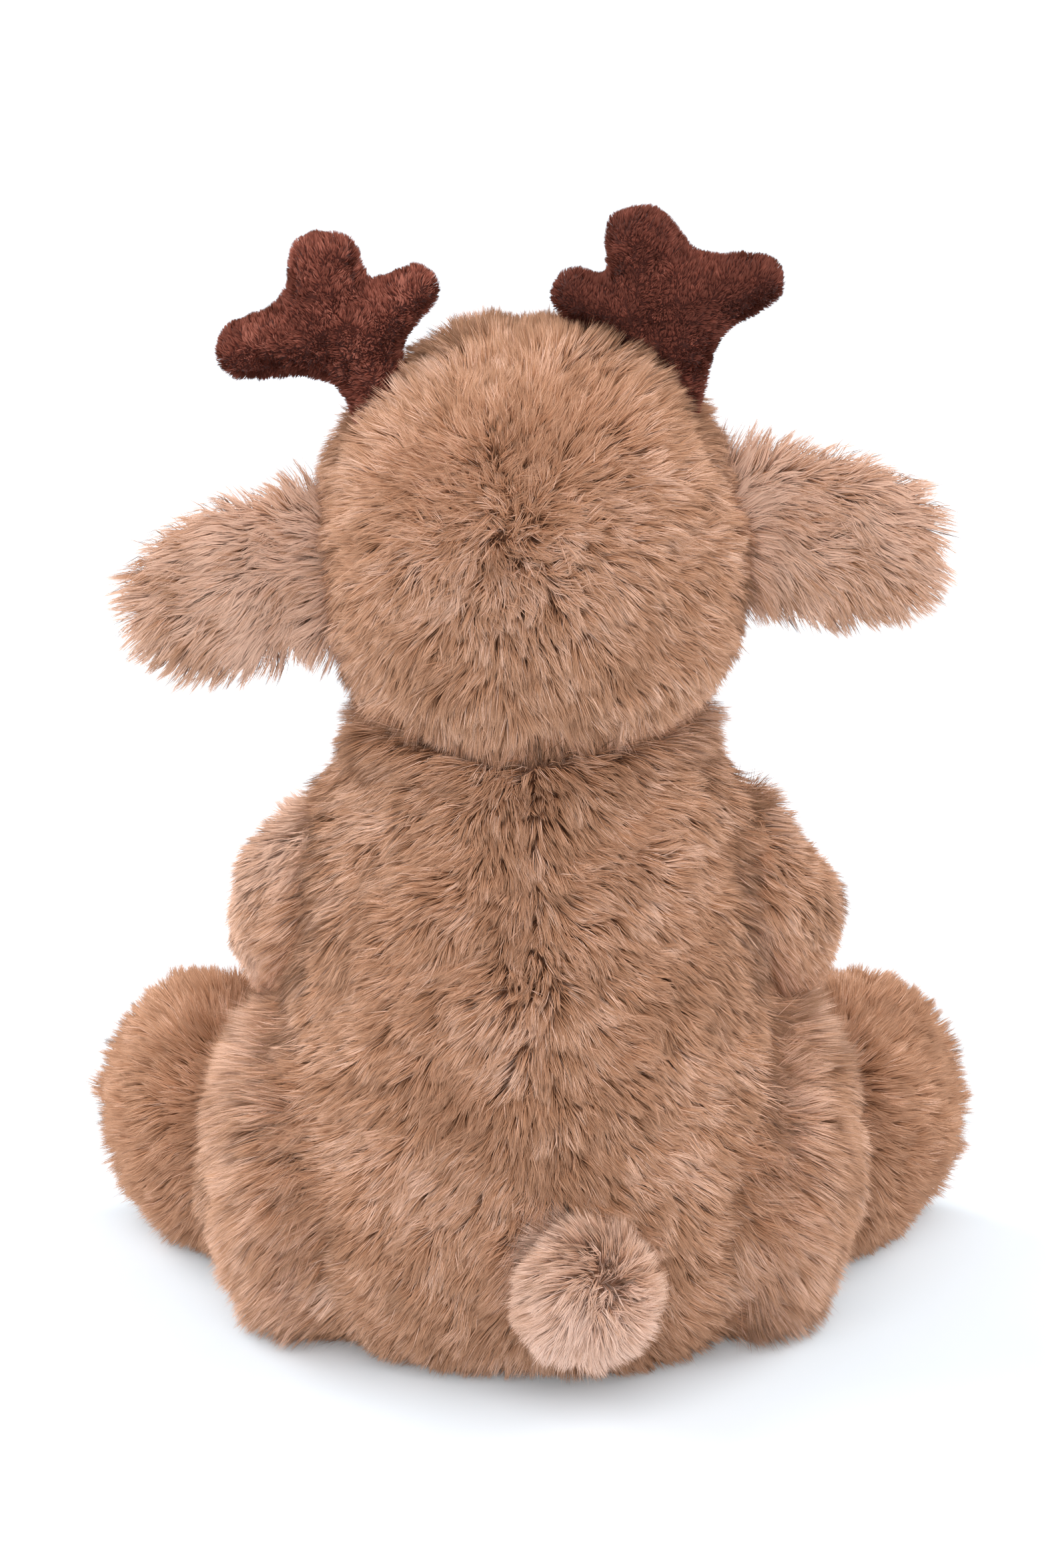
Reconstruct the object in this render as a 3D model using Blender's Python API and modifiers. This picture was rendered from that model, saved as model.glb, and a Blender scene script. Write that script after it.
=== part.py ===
"""A seated plush deer, modelled as the separate pieces it is sewn and stuffed from.

It sits on the floor with its face towards -Y, its back towards +Y and +Z up. The skins are
plush backing with the dense foot of the pile; the loose pile stands about 5 mm outside them.
Every stuffed form is a coarse cage of rings with a Subdivision Surface, and its skin and its
stuffing are both made from that one cage.
"""

import math
from collections import namedtuple

import bmesh
import bpy
import numpy as np
from mathutils import Matrix, Vector

MM = 0.001

# Fabric, fits and cutting tools
SKIN_THICKNESS = 2.2 * MM
SHORT_PILE_SKIN_THICKNESS = 1 * MM
FIT_GAP = 0.35 * MM
MOVING_GAP = 0.6 * MM
CUTTER_REACH = 160 * MM
WELD_DISTANCE = 0.01 * MM
SMOOTHING_LEVELS = 1
DOME_STEPS = 5

# Where the neck's ball centre stands, and how far the head leans to its own left
NECK_BALL_HEIGHT = 171 * MM
TOY_SHIFT_FORWARD = 5.5 * MM
HEAD_LEAN = math.radians(5)

# Body: a pear cut flat where it sits
BODY_HEIGHT = 146 * MM
BODY_HALF_WIDTH = 55 * MM
BODY_HALF_DEPTH = 47 * MM
BODY_BACK_OFFSET = 4 * MM
SEAT_FLAT_DEPTH = 0.5 * MM
BODY_SIDES = 10
# height, half width, half depth, backward offset
BODY_RING_SHARES = (
    (0.0, 0.0, 0.0, 1.0),
    (0.012, 0.56, 0.56, 1.0),
    (0.065, 0.88, 0.87, 1.0),
    (0.18, 1.0, 0.985, 1.0),
    (0.345, 0.985, 1.0, 1.0),
    (0.55, 0.85, 0.92, 0.8),
    (0.75, 0.75, 0.76, 0.6),
    (0.885, 0.64, 0.63, 0.5),
    (0.965, 0.42, 0.43, 0.3),
    (1.0, 0.0, 0.0, 0.2),
)
SEAT_PANEL_HALF_WIDTH = 26 * MM
SEAT_PANEL_HALF_DEPTH = 22 * MM
SEAT_PANEL_THICKNESS = 1.8 * MM
PELLET_BAG_HALF_WIDTH = 24 * MM
PELLET_BAG_HEIGHT = 18 * MM

# Neck: a ball of packed stuffing layers about the head's centre
NECK_BALL_RADIUS = 45 * MM
NECK_GATHER_THICKNESS = 1.8 * MM
NECK_GATHER_HALF_ANGLE = math.radians(20)
NECK_SWING_ALLOWANCE = math.radians(15)
NECK_WAD_RADIUS = 17 * MM
NECK_WAD_HEIGHT = 18 * MM
NECK_ARC_STEPS = 4
NECK_TURN_STEPS = 16

# Head: round at the neck, full at the cheeks
HEAD_HALF_WIDTH = 40 * MM
HEAD_HALF_DEPTH = 39.5 * MM
HEAD_HALF_HEIGHT = 41.5 * MM
HEAD_SIDES = 12
NECK_CAP_ANGLES_DEG = (22, 46)
# height from the centre, half width, half depth, above the round cap at the neck
HEAD_RING_SHARES = (
    (-0.56, 0.95, 0.95),
    (-0.3, 1.0, 1.0),
    (-0.03, 1.0, 1.0),
    (0.27, 0.98, 0.98),
    (0.56, 0.88, 0.88),
    (0.82, 0.65, 0.65),
    (0.965, 0.34, 0.34),
)

# Face, out of the photo's sight
MUZZLE_HALF_WIDTH = 18 * MM
MUZZLE_HALF_HEIGHT = 13.5 * MM
MUZZLE_HALF_DEPTH = 19 * MM
MUZZLE_FORWARD = 37 * MM
MUZZLE_DROP = 10 * MM
MUZZLE_SIDES = 8
NOSE_HALF_WIDTH = 6.5 * MM
NOSE_DEPTH = 4.5 * MM
NOSE_RISE = 4.5 * MM
EYE_RADIUS = 5 * MM
EYE_DOME_HEIGHT = 3.2 * MM
EYE_TURN = math.radians(25)
EYE_LIFT = math.radians(9)
SHANK_RADIUS = 1.5 * MM
SHANK_LENGTH = 9 * MM
WASHER_RADIUS = 5 * MM
WASHER_THICKNESS = 1.2 * MM
WASHER_SETBACK = 3.2 * MM

# Ears: an outer and a lining layer that hinge in an upright fold at the head's side
EAR_LENGTH = 44 * MM
EAR_HALF_HEIGHT = 16.5 * MM
EAR_HALF_THICKNESS = 3.1 * MM
EAR_DROOP = 8 * MM
EAR_ROOT_INSET = 1 * MM
EAR_ROOT_HALF_LENGTH = 17 * MM
EAR_TILT = math.radians(6)
EAR_SIDES = 8
# out along the ear, half height, half thickness, droop
EAR_RING_SHARES = (
    (-0.06, 0.0, 0.0, 0.0),
    (-0.04, 0.5, 0.75, 0.0),
    (0.03, 0.84, 1.0, 0.02),
    (0.3, 0.98, 1.0, 0.12),
    (0.6, 1.0, 0.95, 0.42),
    (0.85, 0.74, 0.82, 0.8),
    (0.97, 0.36, 0.55, 0.96),
    (1.0, 0.0, 0.0, 1.0),
)

# Antlers: stuffed and pronged, each bent its own way
ANTLER_HEIGHT = 45.5 * MM
ANTLER_STEM_RADIUS = 6.2 * MM
ANTLER_FLATNESS = 0.88
ANTLER_ROOT_BACK = 3 * MM
ANTLER_ROOT_DEPTH = 4.8 * MM
ANTLER_DISH_MOUTH = 9 * MM
ANTLER_DISH_FLARE = 2.5 * MM
LEFT_ANTLER_ROOT_OUT = 27.5 * MM
LEFT_ANTLER_ROOT_RISE = 30 * MM
RIGHT_ANTLER_ROOT_OUT = 31.5 * MM
RIGHT_ANTLER_ROOT_RISE = 27.5 * MM
# outward and upward from the root, and thickness, for each bend
LEFT_ANTLER_SHARES = (
    (-0.02, -0.18, 0.9),
    (0.0, 0.02, 1.0),
    (0.09, 0.2, 1.12),
    (0.19, 0.39, 1.4),
    (0.255, 0.57, 1.32),
    (0.27, 0.73, 1.26),
    (0.275, 0.82, 0.85),
    (0.43, 0.31, 1.08),
    (0.65, 0.29, 1.05),
    (0.77, 0.29, 0.68),
    (0.02, 0.44, 0.95),
    (-0.15, 0.575, 0.86),
    (-0.23, 0.64, 0.58),
)
RIGHT_ANTLER_SHARES = (
    (-0.02, -0.18, 0.88),
    (0.0, 0.02, 0.96),
    (-0.01, 0.22, 1.12),
    (-0.05, 0.42, 1.5),
    (-0.13, 0.62, 1.34),
    (-0.17, 0.78, 1.26),
    (-0.185, 0.88, 0.85),
    (0.17, 0.48, 1.08),
    (0.37, 0.545, 0.98),
    (0.5, 0.57, 0.66),
    (-0.28, 0.4, 0.96),
    (-0.44, 0.48, 0.88),
    (-0.55, 0.54, 0.6),
)
ANTLER_LINKS = (
    (0, 1), (1, 2), (2, 3), (3, 4), (4, 5), (5, 6),
    (3, 7), (7, 8), (8, 9),
    (3, 10), (10, 11), (11, 12),
)

# Arms: hang from the shoulders and rest forwards on the lap
ARM_OUT = 49.5 * MM
ARM_REACH = 42 * MM
ARM_SHOULDER_HEIGHT = 110 * MM
ARM_DROP = 33 * MM
ARM_HALF_THICKNESS = 12 * MM
ARM_SIDES = 8
# outwards, forwards, drop below the shoulder, half thickness across and along
ARM_RING_SHARES = (
    (0.65, -0.03, -0.26, 0.0, 0.0),
    (0.7, -0.03, -0.06, 0.74, 0.9),
    (0.79, 0.0, 0.18, 0.94, 1.08),
    (0.92, 0.02, 0.44, 1.0, 1.12),
    (1.0, 0.12, 0.67, 1.0, 1.06),
    (1.0, 0.37, 0.89, 0.97, 0.97),
    (0.98, 0.66, 0.97, 0.96, 0.96),
    (0.96, 0.9, 1.0, 0.66, 0.66),
    (0.95, 1.0, 1.0, 0.0, 0.0),
)
# The plane that an arm slides on leans with the body's flank
FLANK_UPPER_OUT = 41 * MM
FLANK_UPPER_HEIGHT = 110 * MM
FLANK_LOWER_OUT = 45.6 * MM
FLANK_LOWER_HEIGHT = 80 * MM

# Legs: thighs against the hips, feet splayed and toes up
HIP_PLANE_OUT = 46 * MM
LEG_PIVOT_BACK = 14 * MM
LEG_PIVOT_HEIGHT = 20 * MM
THIGH_HALF_HEIGHT = 32 * MM
LEG_OUT = 72 * MM
LEG_REACH = 64 * MM
THIGH_BACK = 22 * MM
LEG_SIDES = 8
# outwards as a share of the foot's place, forwards as a share of the reach from behind the
# thigh, half width, half height and centre height as shares of the thigh's half height
LEG_RING_SHARES = (
    (0.6, 0.0, 0.0, 0.0, 0.84),
    (0.605, 0.04, 0.32, 0.5, 0.86),
    (0.615, 0.16, 0.58, 0.84, 0.94),
    (0.64, 0.33, 0.64, 1.0, 1.0),
    (0.71, 0.48, 0.59, 0.9, 0.9),
    (0.83, 0.62, 0.55, 0.8, 0.8),
    (0.935, 0.73, 0.58, 0.82, 0.82),
    (0.985, 0.85, 0.62, 0.86, 0.86),
    (1.03, 0.95, 0.56, 0.78, 0.83),
    (1.05, 0.99, 0.31, 0.46, 0.82),
    (1.055, 1.0, 0.0, 0.0, 0.82),
)
SOLE_SETBACK = 5.5 * MM
SOLE_TURN = math.radians(20)
SOLE_PAD_HALF_WIDTH = 11 * MM
SOLE_PAD_HALF_HEIGHT = 16 * MM
SOLE_PAD_THICKNESS = 1.4 * MM
SOLE_PAD_RISE = 26 * MM

# Tail: a ball on a short root that sits in a dimple of the back
TAIL_RADIUS = 11.5 * MM
TAIL_ROOT_RADIUS = 4.5 * MM
TAIL_ROOT_ASIDE = -6.5 * MM
TAIL_ROOT_HEIGHT = 33 * MM
TAIL_STANDOFF = 14.6 * MM
TAIL_SWEEP_ASIDE = math.radians(20)
TAIL_DROOP = math.radians(14)
TAIL_SEGMENTS = 12
TAIL_RINGS = 8

# Finishes: base colour and roughness
FINISHES = {
    "plush_tan": ((0.40, 0.21, 0.14), 0.95),
    "plush_light": ((0.60, 0.40, 0.29), 0.95),
    "antler_brown": ((0.10, 0.03, 0.02), 0.9),
    "stuffing_white": ((0.85, 0.84, 0.80), 1.0),
    "seat_cloth": ((0.35, 0.20, 0.14), 0.95),
    "pellet_cloth": ((0.70, 0.68, 0.62), 0.9),
    "eye_black": ((0.01, 0.01, 0.01), 0.08),
    "nose_brown": ((0.05, 0.02, 0.015), 0.3),
    "washer_plastic": ((0.75, 0.75, 0.72), 0.5),
}

Ring = namedtuple("Ring", "centre half_across half_deep")
SIDES = (("left", 1), ("right", -1))


def clear_scene():
    """Remove every object of the file that the script starts in."""
    for old in list(bpy.data.objects):
        bpy.data.objects.remove(old)


def new_collection(name):
    collection = bpy.data.collections.new(name)
    bpy.context.scene.collection.children.link(collection)
    return collection


def new_material(name):
    """A Principled material in one of the named finishes."""
    colour, roughness = FINISHES[name]
    material = bpy.data.materials.new(name)
    material.use_nodes = True
    shader = material.node_tree.nodes["Principled BSDF"]
    shader.inputs["Base Color"].default_value = (*colour, 1)
    shader.inputs["Roughness"].default_value = roughness
    shader.inputs["Metallic"].default_value = 0
    material.diffuse_color = (*colour, 1)
    return material


clear_scene()
PARTS = new_collection("plush_deer")
CUTTERS = new_collection("plush_deer_cutters")
TOY = bpy.data.objects.new("toy_frame", None)
PARTS.objects.link(TOY)
TOY.location = (0, -TOY_SHIFT_FORWARD, 0)


def new_empty(name, parent, location, lean=0):
    """An empty on a joint's axis, which carries the pieces that move with it."""
    empty = bpy.data.objects.new(name, None)
    PARTS.objects.link(empty)
    empty.parent = parent
    empty.location = location
    empty.rotation_euler = (0, lean, 0)
    return empty


def place(name, mesh, parent, finish):
    """A named piece under its empty, with its own copy of a finish."""
    piece = bpy.data.objects.new(name, mesh)
    PARTS.objects.link(piece)
    piece.parent = parent
    material = new_material(finish)
    material.name = name + "_" + finish
    mesh.materials.clear()
    mesh.materials.append(material)
    return piece


def place_cutter(name, mesh, parent):
    """A tool that cuts pieces and isn't one of them."""
    cutter = bpy.data.objects.new(name, mesh)
    CUTTERS.objects.link(cutter)
    cutter.parent = parent
    cutter.hide_render = True
    cutter.display_type = "WIRE"
    return cutter


def mesh_from(name, bm):
    """Close a bmesh into a mesh with its faces pointing out and shaded smooth."""
    bmesh.ops.recalc_face_normals(bm, faces=bm.faces)
    if bm.calc_volume(signed=True) < 0:
        bmesh.ops.reverse_faces(bm, faces=bm.faces)
    mesh = bpy.data.meshes.new(name)
    bm.to_mesh(mesh)
    bm.free()
    mesh.shade_smooth()
    return mesh


def box_mesh(name, low, high):
    """A box between two corners."""
    bm = bmesh.new()
    bmesh.ops.create_cube(bm, size=1)
    middle = (Vector(low) + Vector(high)) / 2
    size = Vector(high) - Vector(low)
    bmesh.ops.transform(bm, verts=bm.verts, matrix=Matrix.LocRotScale(middle, None, size))
    return mesh_from(name, bm)


def ball_mesh(name, radii, centre, segments, rings):
    """A sphere stretched to three half sizes."""
    bm = bmesh.new()
    bmesh.ops.create_uvsphere(bm, u_segments=segments, v_segments=rings, radius=1)
    bmesh.ops.transform(bm, verts=bm.verts, matrix=Matrix.LocRotScale(Vector(centre), None, Vector(radii)))
    return mesh_from(name, bm)


def rod_mesh(name, radius, start, end, segments):
    """A round rod from one point to another."""
    start, end = Vector(start), Vector(end)
    bm = bmesh.new()
    length = (end - start).length
    bmesh.ops.create_cone(
        bm, cap_ends=True, segments=segments, radius1=radius, radius2=radius, depth=length
    )
    turn = (end - start).to_track_quat("Z", "Y")
    bmesh.ops.transform(bm, verts=bm.verts, matrix=Matrix.LocRotScale((start + end) / 2, turn, None))
    return mesh_from(name, bm)


def disc_mesh(name, half_width, half_depth, thickness, segments):
    """An oval disc that lies on the XY plane."""
    bm = bmesh.new()
    bmesh.ops.create_cone(bm, cap_ends=True, segments=segments, radius1=1, radius2=1, depth=1)
    size = Vector((half_width, half_depth, thickness))
    lift = Vector((0, 0, thickness / 2))
    bmesh.ops.transform(bm, verts=bm.verts, matrix=Matrix.LocRotScale(lift, None, size))
    return mesh_from(name, bm)


def turned_mesh(name, profile, steps):
    """A shape turned about Z from a profile of (radius, height) that runs down its outer side."""
    mesh = bpy.data.meshes.new(name)
    points = [(radius, 0, height) for radius, height in profile]
    mesh.from_pydata(points, [(i, i + 1) for i in range(len(points) - 1)], [])
    turned = bpy.data.objects.new(name, mesh)
    CUTTERS.objects.link(turned)
    screw = turned.modifiers.new("Turn", "SCREW")
    screw.steps = steps
    screw.render_steps = steps
    screw.use_merge_vertices = True
    screw.merge_threshold = WELD_DISTANCE
    result = finished_mesh(turned)
    result.name = name
    bpy.data.objects.remove(turned)
    return result


def finished_mesh(source):
    """The mesh of an object as its modifiers leave it, welded and facing out."""
    graph = bpy.context.evaluated_depsgraph_get()
    evaluated = bpy.data.meshes.new_from_object(source.evaluated_get(graph))
    bm = bmesh.new()
    bm.from_mesh(evaluated)
    bmesh.ops.remove_doubles(bm, verts=bm.verts, dist=WELD_DISTANCE)
    return mesh_from(source.name, bm)


def through_points(values):
    """Cage values whose smooth surface passes through the given ones: a spline lies inside its cage."""
    count = len(values)
    matrix = np.eye(count)
    for i in range(1, count - 1):
        matrix[i, i - 1 : i + 2] = (1 / 6, 4 / 6, 1 / 6)
    return np.linalg.solve(matrix, np.array(values, float))


def ring_swell(sides):
    """How much wider a cage ring is than the round section that it smooths to."""
    return 3 / (2 + math.cos(2 * math.pi / sides))


def ring_cage(name, sides, rings, across):
    """A closed cage: a sphere whose rings are moved to the sections along a spine.

    The first and last rings are points. across is the direction of each ring's width.
    """
    values = through_points([(*r.centre, r.half_across, r.half_deep) for r in rings])
    centres = [Vector(row[:3]) for row in values]
    swell = ring_swell(sides)
    bands = len(rings) - 1
    bm = bmesh.new()
    bmesh.ops.create_uvsphere(bm, u_segments=sides, v_segments=bands, radius=1)
    for vert in bm.verts:
        place_on_spine = round(math.acos(max(-1, min(1, -vert.co.z))) / math.pi * bands)
        angle = math.atan2(vert.co.y, vert.co.x)
        before = centres[max(place_on_spine - 1, 0)]
        after = centres[min(place_on_spine + 1, bands)]
        along = (after - before).normalized()
        deep = along.cross(across).normalized()
        wide = deep.cross(along)
        half_wide, half_deep = values[place_on_spine][3:] * swell
        if place_on_spine in (0, bands):
            half_wide, half_deep = 0, 0
        vert.co = (
            centres[place_on_spine]
            + wide * (half_wide * math.cos(angle))
            + deep * (half_deep * math.sin(angle))
        )
    return mesh_from(name, bm)


def smooth(piece, levels=SMOOTHING_LEVELS):
    modifier = piece.modifiers.new("Smooth", "SUBSURF")
    modifier.levels = levels
    modifier.render_levels = levels


def grow(piece, distance):
    """Move the whole surface out along its normals, or in where the distance is negative."""
    modifier = piece.modifiers.new("Grow", "DISPLACE")
    modifier.strength = distance
    modifier.mid_level = 0


def shell(piece, thickness):
    """Turn the form into a skin of even thickness inside its surface."""
    modifier = piece.modifiers.new("Shell", "SOLIDIFY")
    modifier.thickness = thickness
    modifier.offset = -1


def cut(piece, *cutters, solver="EXACT"):
    for cutter in cutters:
        modifier = piece.modifiers.new("Cut " + cutter.name, "BOOLEAN")
        modifier.operation = "DIFFERENCE"
        modifier.solver = solver
        modifier.object = cutter


def join(piece, *others):
    for other in others:
        modifier = piece.modifiers.new("Join " + other.name, "BOOLEAN")
        modifier.operation = "UNION"
        modifier.solver = "EXACT"
        modifier.object = other


def stuffed_skin(name, cage, parent, finish, cutters, thickness=SKIN_THICKNESS):
    """The fabric of a stuffed form, open where the cutters take it away."""
    skin = place(name, cage.copy(), parent, finish)
    smooth(skin)
    shell(skin, thickness)
    cut(skin, *cutters)
    return skin


def half_surface(name, cage, side):
    """The smooth surface of one side of a form, open a little past the middle."""
    form = place_cutter(name + "_form", cage.copy(), None)
    smooth(form)
    graph = bpy.context.evaluated_depsgraph_get()
    evaluated = bpy.data.meshes.new_from_object(form.evaluated_get(graph))
    bpy.data.objects.remove(form)
    bm = bmesh.new()
    bm.from_mesh(evaluated)
    bmesh.ops.bisect_plane(
        bm,
        geom=[*bm.verts, *bm.edges, *bm.faces],
        plane_co=(-side * SKIN_THICKNESS, 0, 0),
        plane_no=(-side, 0, 0),
        clear_outer=True,
    )
    surface = bpy.data.meshes.new(name)
    bm.to_mesh(surface)
    bm.free()
    surface.shade_smooth()
    return surface


def half_skin(name, cage, side, parent, cutters):
    """One side of a form's skin, cut straight along the middle seam.

    Its thin shell loses faces to the exact solver, so these cuts take the manifold one.
    """
    skin = place(name, half_surface(name, cage, side), parent, "plush_tan")
    shell(skin, SKIN_THICKNESS)
    cut(skin, seam_cutter(name + "_seam", parent, side), *cutters, solver="MANIFOLD")
    return skin


def stuffing(name, cage, parent, cutters, thickness=SKIN_THICKNESS):
    """The fibre inside a skin, clear of it by the fit gap."""
    filling = place(name, cage.copy(), parent, "stuffing_white")
    smooth(filling)
    grow(filling, -(thickness + FIT_GAP))
    cut(filling, *cutters)
    return filling


def form_cutter(name, cage, parent, clearance):
    """A form as a tool, larger than the form by the clearance."""
    tool = place_cutter(name, cage.copy(), parent)
    smooth(tool)
    grow(tool, clearance)
    return tool


def arc(radius, start, end, steps):
    """Points (radius, height) about the neck's ball centre, by angle from straight down."""
    angles = [start + (end - start) * i / steps for i in range(steps + 1)]
    return [(radius * math.sin(a), -radius * math.cos(a)) for a in angles]


def cutter_box(name, parent, low, high):
    return place_cutter(name, box_mesh(name, low, high), parent)


def ground_cutter(name, parent, ground_height):
    """Everything below the floor, given the floor's height in the parent's frame."""
    return cutter_box(
        name,
        parent,
        (-CUTTER_REACH, -CUTTER_REACH, ground_height - CUTTER_REACH),
        (CUTTER_REACH, CUTTER_REACH, ground_height),
    )


def seam_cutter(name, parent, side):
    """Everything across the middle seam from one side, with half the seam's gap."""
    edges = sorted((-side * CUTTER_REACH, side * FIT_GAP / 2))
    return cutter_box(
        name,
        parent,
        (edges[0], -CUTTER_REACH, -CUTTER_REACH),
        (edges[1], CUTTER_REACH, CUTTER_REACH * 2),
    )


# Neck cutters and pieces

neck_ball = new_empty("neck_ball_centre", TOY, (0, 0, NECK_BALL_HEIGHT))
head_frame = new_empty("head_frame", neck_ball, (0, 0, 0), HEAD_LEAN)

gather_inner_radius = NECK_BALL_RADIUS + MOVING_GAP
gather_outer_radius = gather_inner_radius + NECK_GATHER_THICKNESS
recess_radius = gather_outer_radius + MOVING_GAP
recess_half_angle = NECK_GATHER_HALF_ANGLE + NECK_SWING_ALLOWANCE


def neck_cup_cutter():
    """The ball that hollows the body's top for the head."""
    mesh = ball_mesh(
        "neck_cup", [gather_inner_radius] * 3, (0, 0, 0), NECK_TURN_STEPS * 2, NECK_TURN_STEPS
    )
    return place_cutter("neck_cup", mesh, neck_ball)


def neck_recess_cutter():
    """The deeper bowl under the gathered fabric, as wide as its swing."""
    profile = [(0, -gather_inner_radius / 2)]
    profile += [
        (recess_radius * math.sin(recess_half_angle), -gather_inner_radius / 2),
    ]
    profile += arc(recess_radius, recess_half_angle, 0, NECK_ARC_STEPS)
    return place_cutter(
        "neck_recess", turned_mesh("neck_recess", profile, NECK_TURN_STEPS), neck_ball
    )


def neck_well_cutter():
    """The round well in the body's stuffing that holds the neck's wad."""
    bottom = -recess_radius - NECK_WAD_HEIGHT - FIT_GAP
    mesh = rod_mesh(
        "neck_well", NECK_WAD_RADIUS + FIT_GAP, (0, 0, bottom), (0, 0, -gather_inner_radius / 2),
        NECK_TURN_STEPS,
    )
    return place_cutter("neck_well", mesh, neck_ball)


def build_neck():
    """The wad that turns in the body, and the gathered fabric that nods on it."""
    top_angle = math.asin(NECK_WAD_RADIUS / recess_radius)
    bottom = -recess_radius - NECK_WAD_HEIGHT
    wad_profile = arc(recess_radius, 0, top_angle, NECK_ARC_STEPS)
    wad_profile += [(NECK_WAD_RADIUS, bottom), (0, bottom)]
    place("neck_stuffing", turned_mesh("neck_stuffing", wad_profile, NECK_TURN_STEPS),
          neck_ball, "stuffing_white")
    gather_profile = arc(gather_inner_radius, 0, NECK_GATHER_HALF_ANGLE, NECK_ARC_STEPS)
    gather_profile += arc(gather_outer_radius, NECK_GATHER_HALF_ANGLE, 0, NECK_ARC_STEPS)
    place("neck_gather", turned_mesh("neck_gather", gather_profile, NECK_TURN_STEPS),
          neck_ball, "seat_cloth")


# Body

def body_cage():
    rings = [
        Ring(
            (0, back * BODY_BACK_OFFSET, height * BODY_HEIGHT - SEAT_FLAT_DEPTH),
            wide * BODY_HALF_WIDTH,
            deep * BODY_HALF_DEPTH,
        )
        for height, wide, deep, back in BODY_RING_SHARES
    ]
    return ring_cage("body_cage", BODY_SIDES, rings, Vector((1, 0, 0)))


def flank_lean():
    """The lean of the plane that both a flank and its arm are cut to."""
    return math.atan2(
        FLANK_LOWER_OUT - FLANK_UPPER_OUT, FLANK_UPPER_HEIGHT - FLANK_LOWER_HEIGHT
    )


def flank_cutter(name, side, inward, clearance):
    """All that lies on one side of a flank's plane: inward takes the body's side of it."""
    frame = new_empty(
        name + "_frame",
        TOY,
        (side * FLANK_UPPER_OUT, 0, FLANK_UPPER_HEIGHT),
        -side * flank_lean(),
    )
    reach = -CUTTER_REACH if inward else CUTTER_REACH
    edges = sorted((side * clearance, side * reach))
    return cutter_box(
        name,
        frame,
        (edges[0], -CUTTER_REACH, -CUTTER_REACH),
        (edges[1], CUTTER_REACH, CUTTER_REACH),
    )


def hip_cutter(name, side, inward, clearance):
    """All that lies on one side of the upright plane between a hip and its leg."""
    reach = -CUTTER_REACH if inward else CUTTER_REACH
    edges = sorted((side * (HIP_PLANE_OUT + clearance), side * reach))
    return cutter_box(
        name,
        TOY,
        (edges[0], -CUTTER_REACH, -CUTTER_REACH),
        (edges[1], CUTTER_REACH, CUTTER_REACH),
    )


def seat_opening_cutter():
    mesh = disc_mesh(
        "seat_opening",
        SEAT_PANEL_HALF_WIDTH + FIT_GAP,
        SEAT_PANEL_HALF_DEPTH + FIT_GAP,
        (SEAT_PANEL_THICKNESS + SKIN_THICKNESS) * 2,
        NECK_TURN_STEPS,
    )
    cutter = place_cutter("seat_opening", mesh, TOY)
    cutter.location = (0, BODY_BACK_OFFSET, -SEAT_PANEL_THICKNESS)
    return cutter


def pellet_pocket_cutter():
    """A pocket over the seat panel, open downwards, that holds the pellet bag."""
    mesh = disc_mesh(
        "pellet_pocket",
        PELLET_BAG_HALF_WIDTH + FIT_GAP,
        PELLET_BAG_HALF_WIDTH * SEAT_PANEL_HALF_DEPTH / SEAT_PANEL_HALF_WIDTH + FIT_GAP,
        PELLET_BAG_HEIGHT + SEAT_PANEL_THICKNESS * 2 + FIT_GAP * 2,
        NECK_TURN_STEPS,
    )
    cutter = place_cutter("pellet_pocket", mesh, TOY)
    cutter.location = (0, BODY_BACK_OFFSET, -SEAT_PANEL_THICKNESS)
    return cutter


def build_body(cage, tail_dimple):
    """Two skins sewn front and back, the seat panel, the stuffing and the pellet bag."""
    floor = ground_cutter("floor", TOY, 0)
    seat_opening = seat_opening_cutter()
    neck_cup = neck_cup_cutter()
    neck_recess = neck_recess_cutter()
    around = [floor, seat_opening, neck_cup, neck_recess, tail_dimple]
    for side_name, side in SIDES:
        flank = flank_cutter("flank_side_" + side_name, side, False, 0)
        hip = hip_cutter("hip_side_" + side_name, side, False, 0)
        half_skin("body_skin_" + side_name, cage, side, TOY, [*around, flank, hip])
    seat_floor = ground_cutter("seat_floor", TOY, SEAT_PANEL_THICKNESS + FIT_GAP)
    stuffing(
        "body_stuffing",
        cage,
        TOY,
        [seat_floor, *stuffing_planes(), neck_cup, neck_recess, tail_dimple, neck_well_cutter(),
         pellet_pocket_cutter()],
    )
    panel = place(
        "seat_panel",
        disc_mesh("seat_panel", SEAT_PANEL_HALF_WIDTH, SEAT_PANEL_HALF_DEPTH,
                  SEAT_PANEL_THICKNESS, NECK_TURN_STEPS),
        TOY,
        "seat_cloth",
    )
    panel.location = (0, BODY_BACK_OFFSET, 0)
    bag = place(
        "pellet_bag",
        disc_mesh("pellet_bag", PELLET_BAG_HALF_WIDTH,
                  PELLET_BAG_HALF_WIDTH * SEAT_PANEL_HALF_DEPTH / SEAT_PANEL_HALF_WIDTH,
                  PELLET_BAG_HEIGHT, NECK_TURN_STEPS),
        TOY,
        "pellet_cloth",
    )
    bag.location = (0, BODY_BACK_OFFSET, SEAT_PANEL_THICKNESS + FIT_GAP)
    bag.modifiers.new("Soft edge", "BEVEL").width = PELLET_BAG_HEIGHT / 4


def stuffing_planes():
    """The flank and hip planes, moved in for the stuffing behind the skins."""
    planes = []
    for side_name, side in SIDES:
        planes.append(flank_cutter("flank_fill_" + side_name, side, False, -FIT_GAP))
        planes.append(hip_cutter("hip_fill_" + side_name, side, False, -FIT_GAP))
    return planes


# Tail

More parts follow.
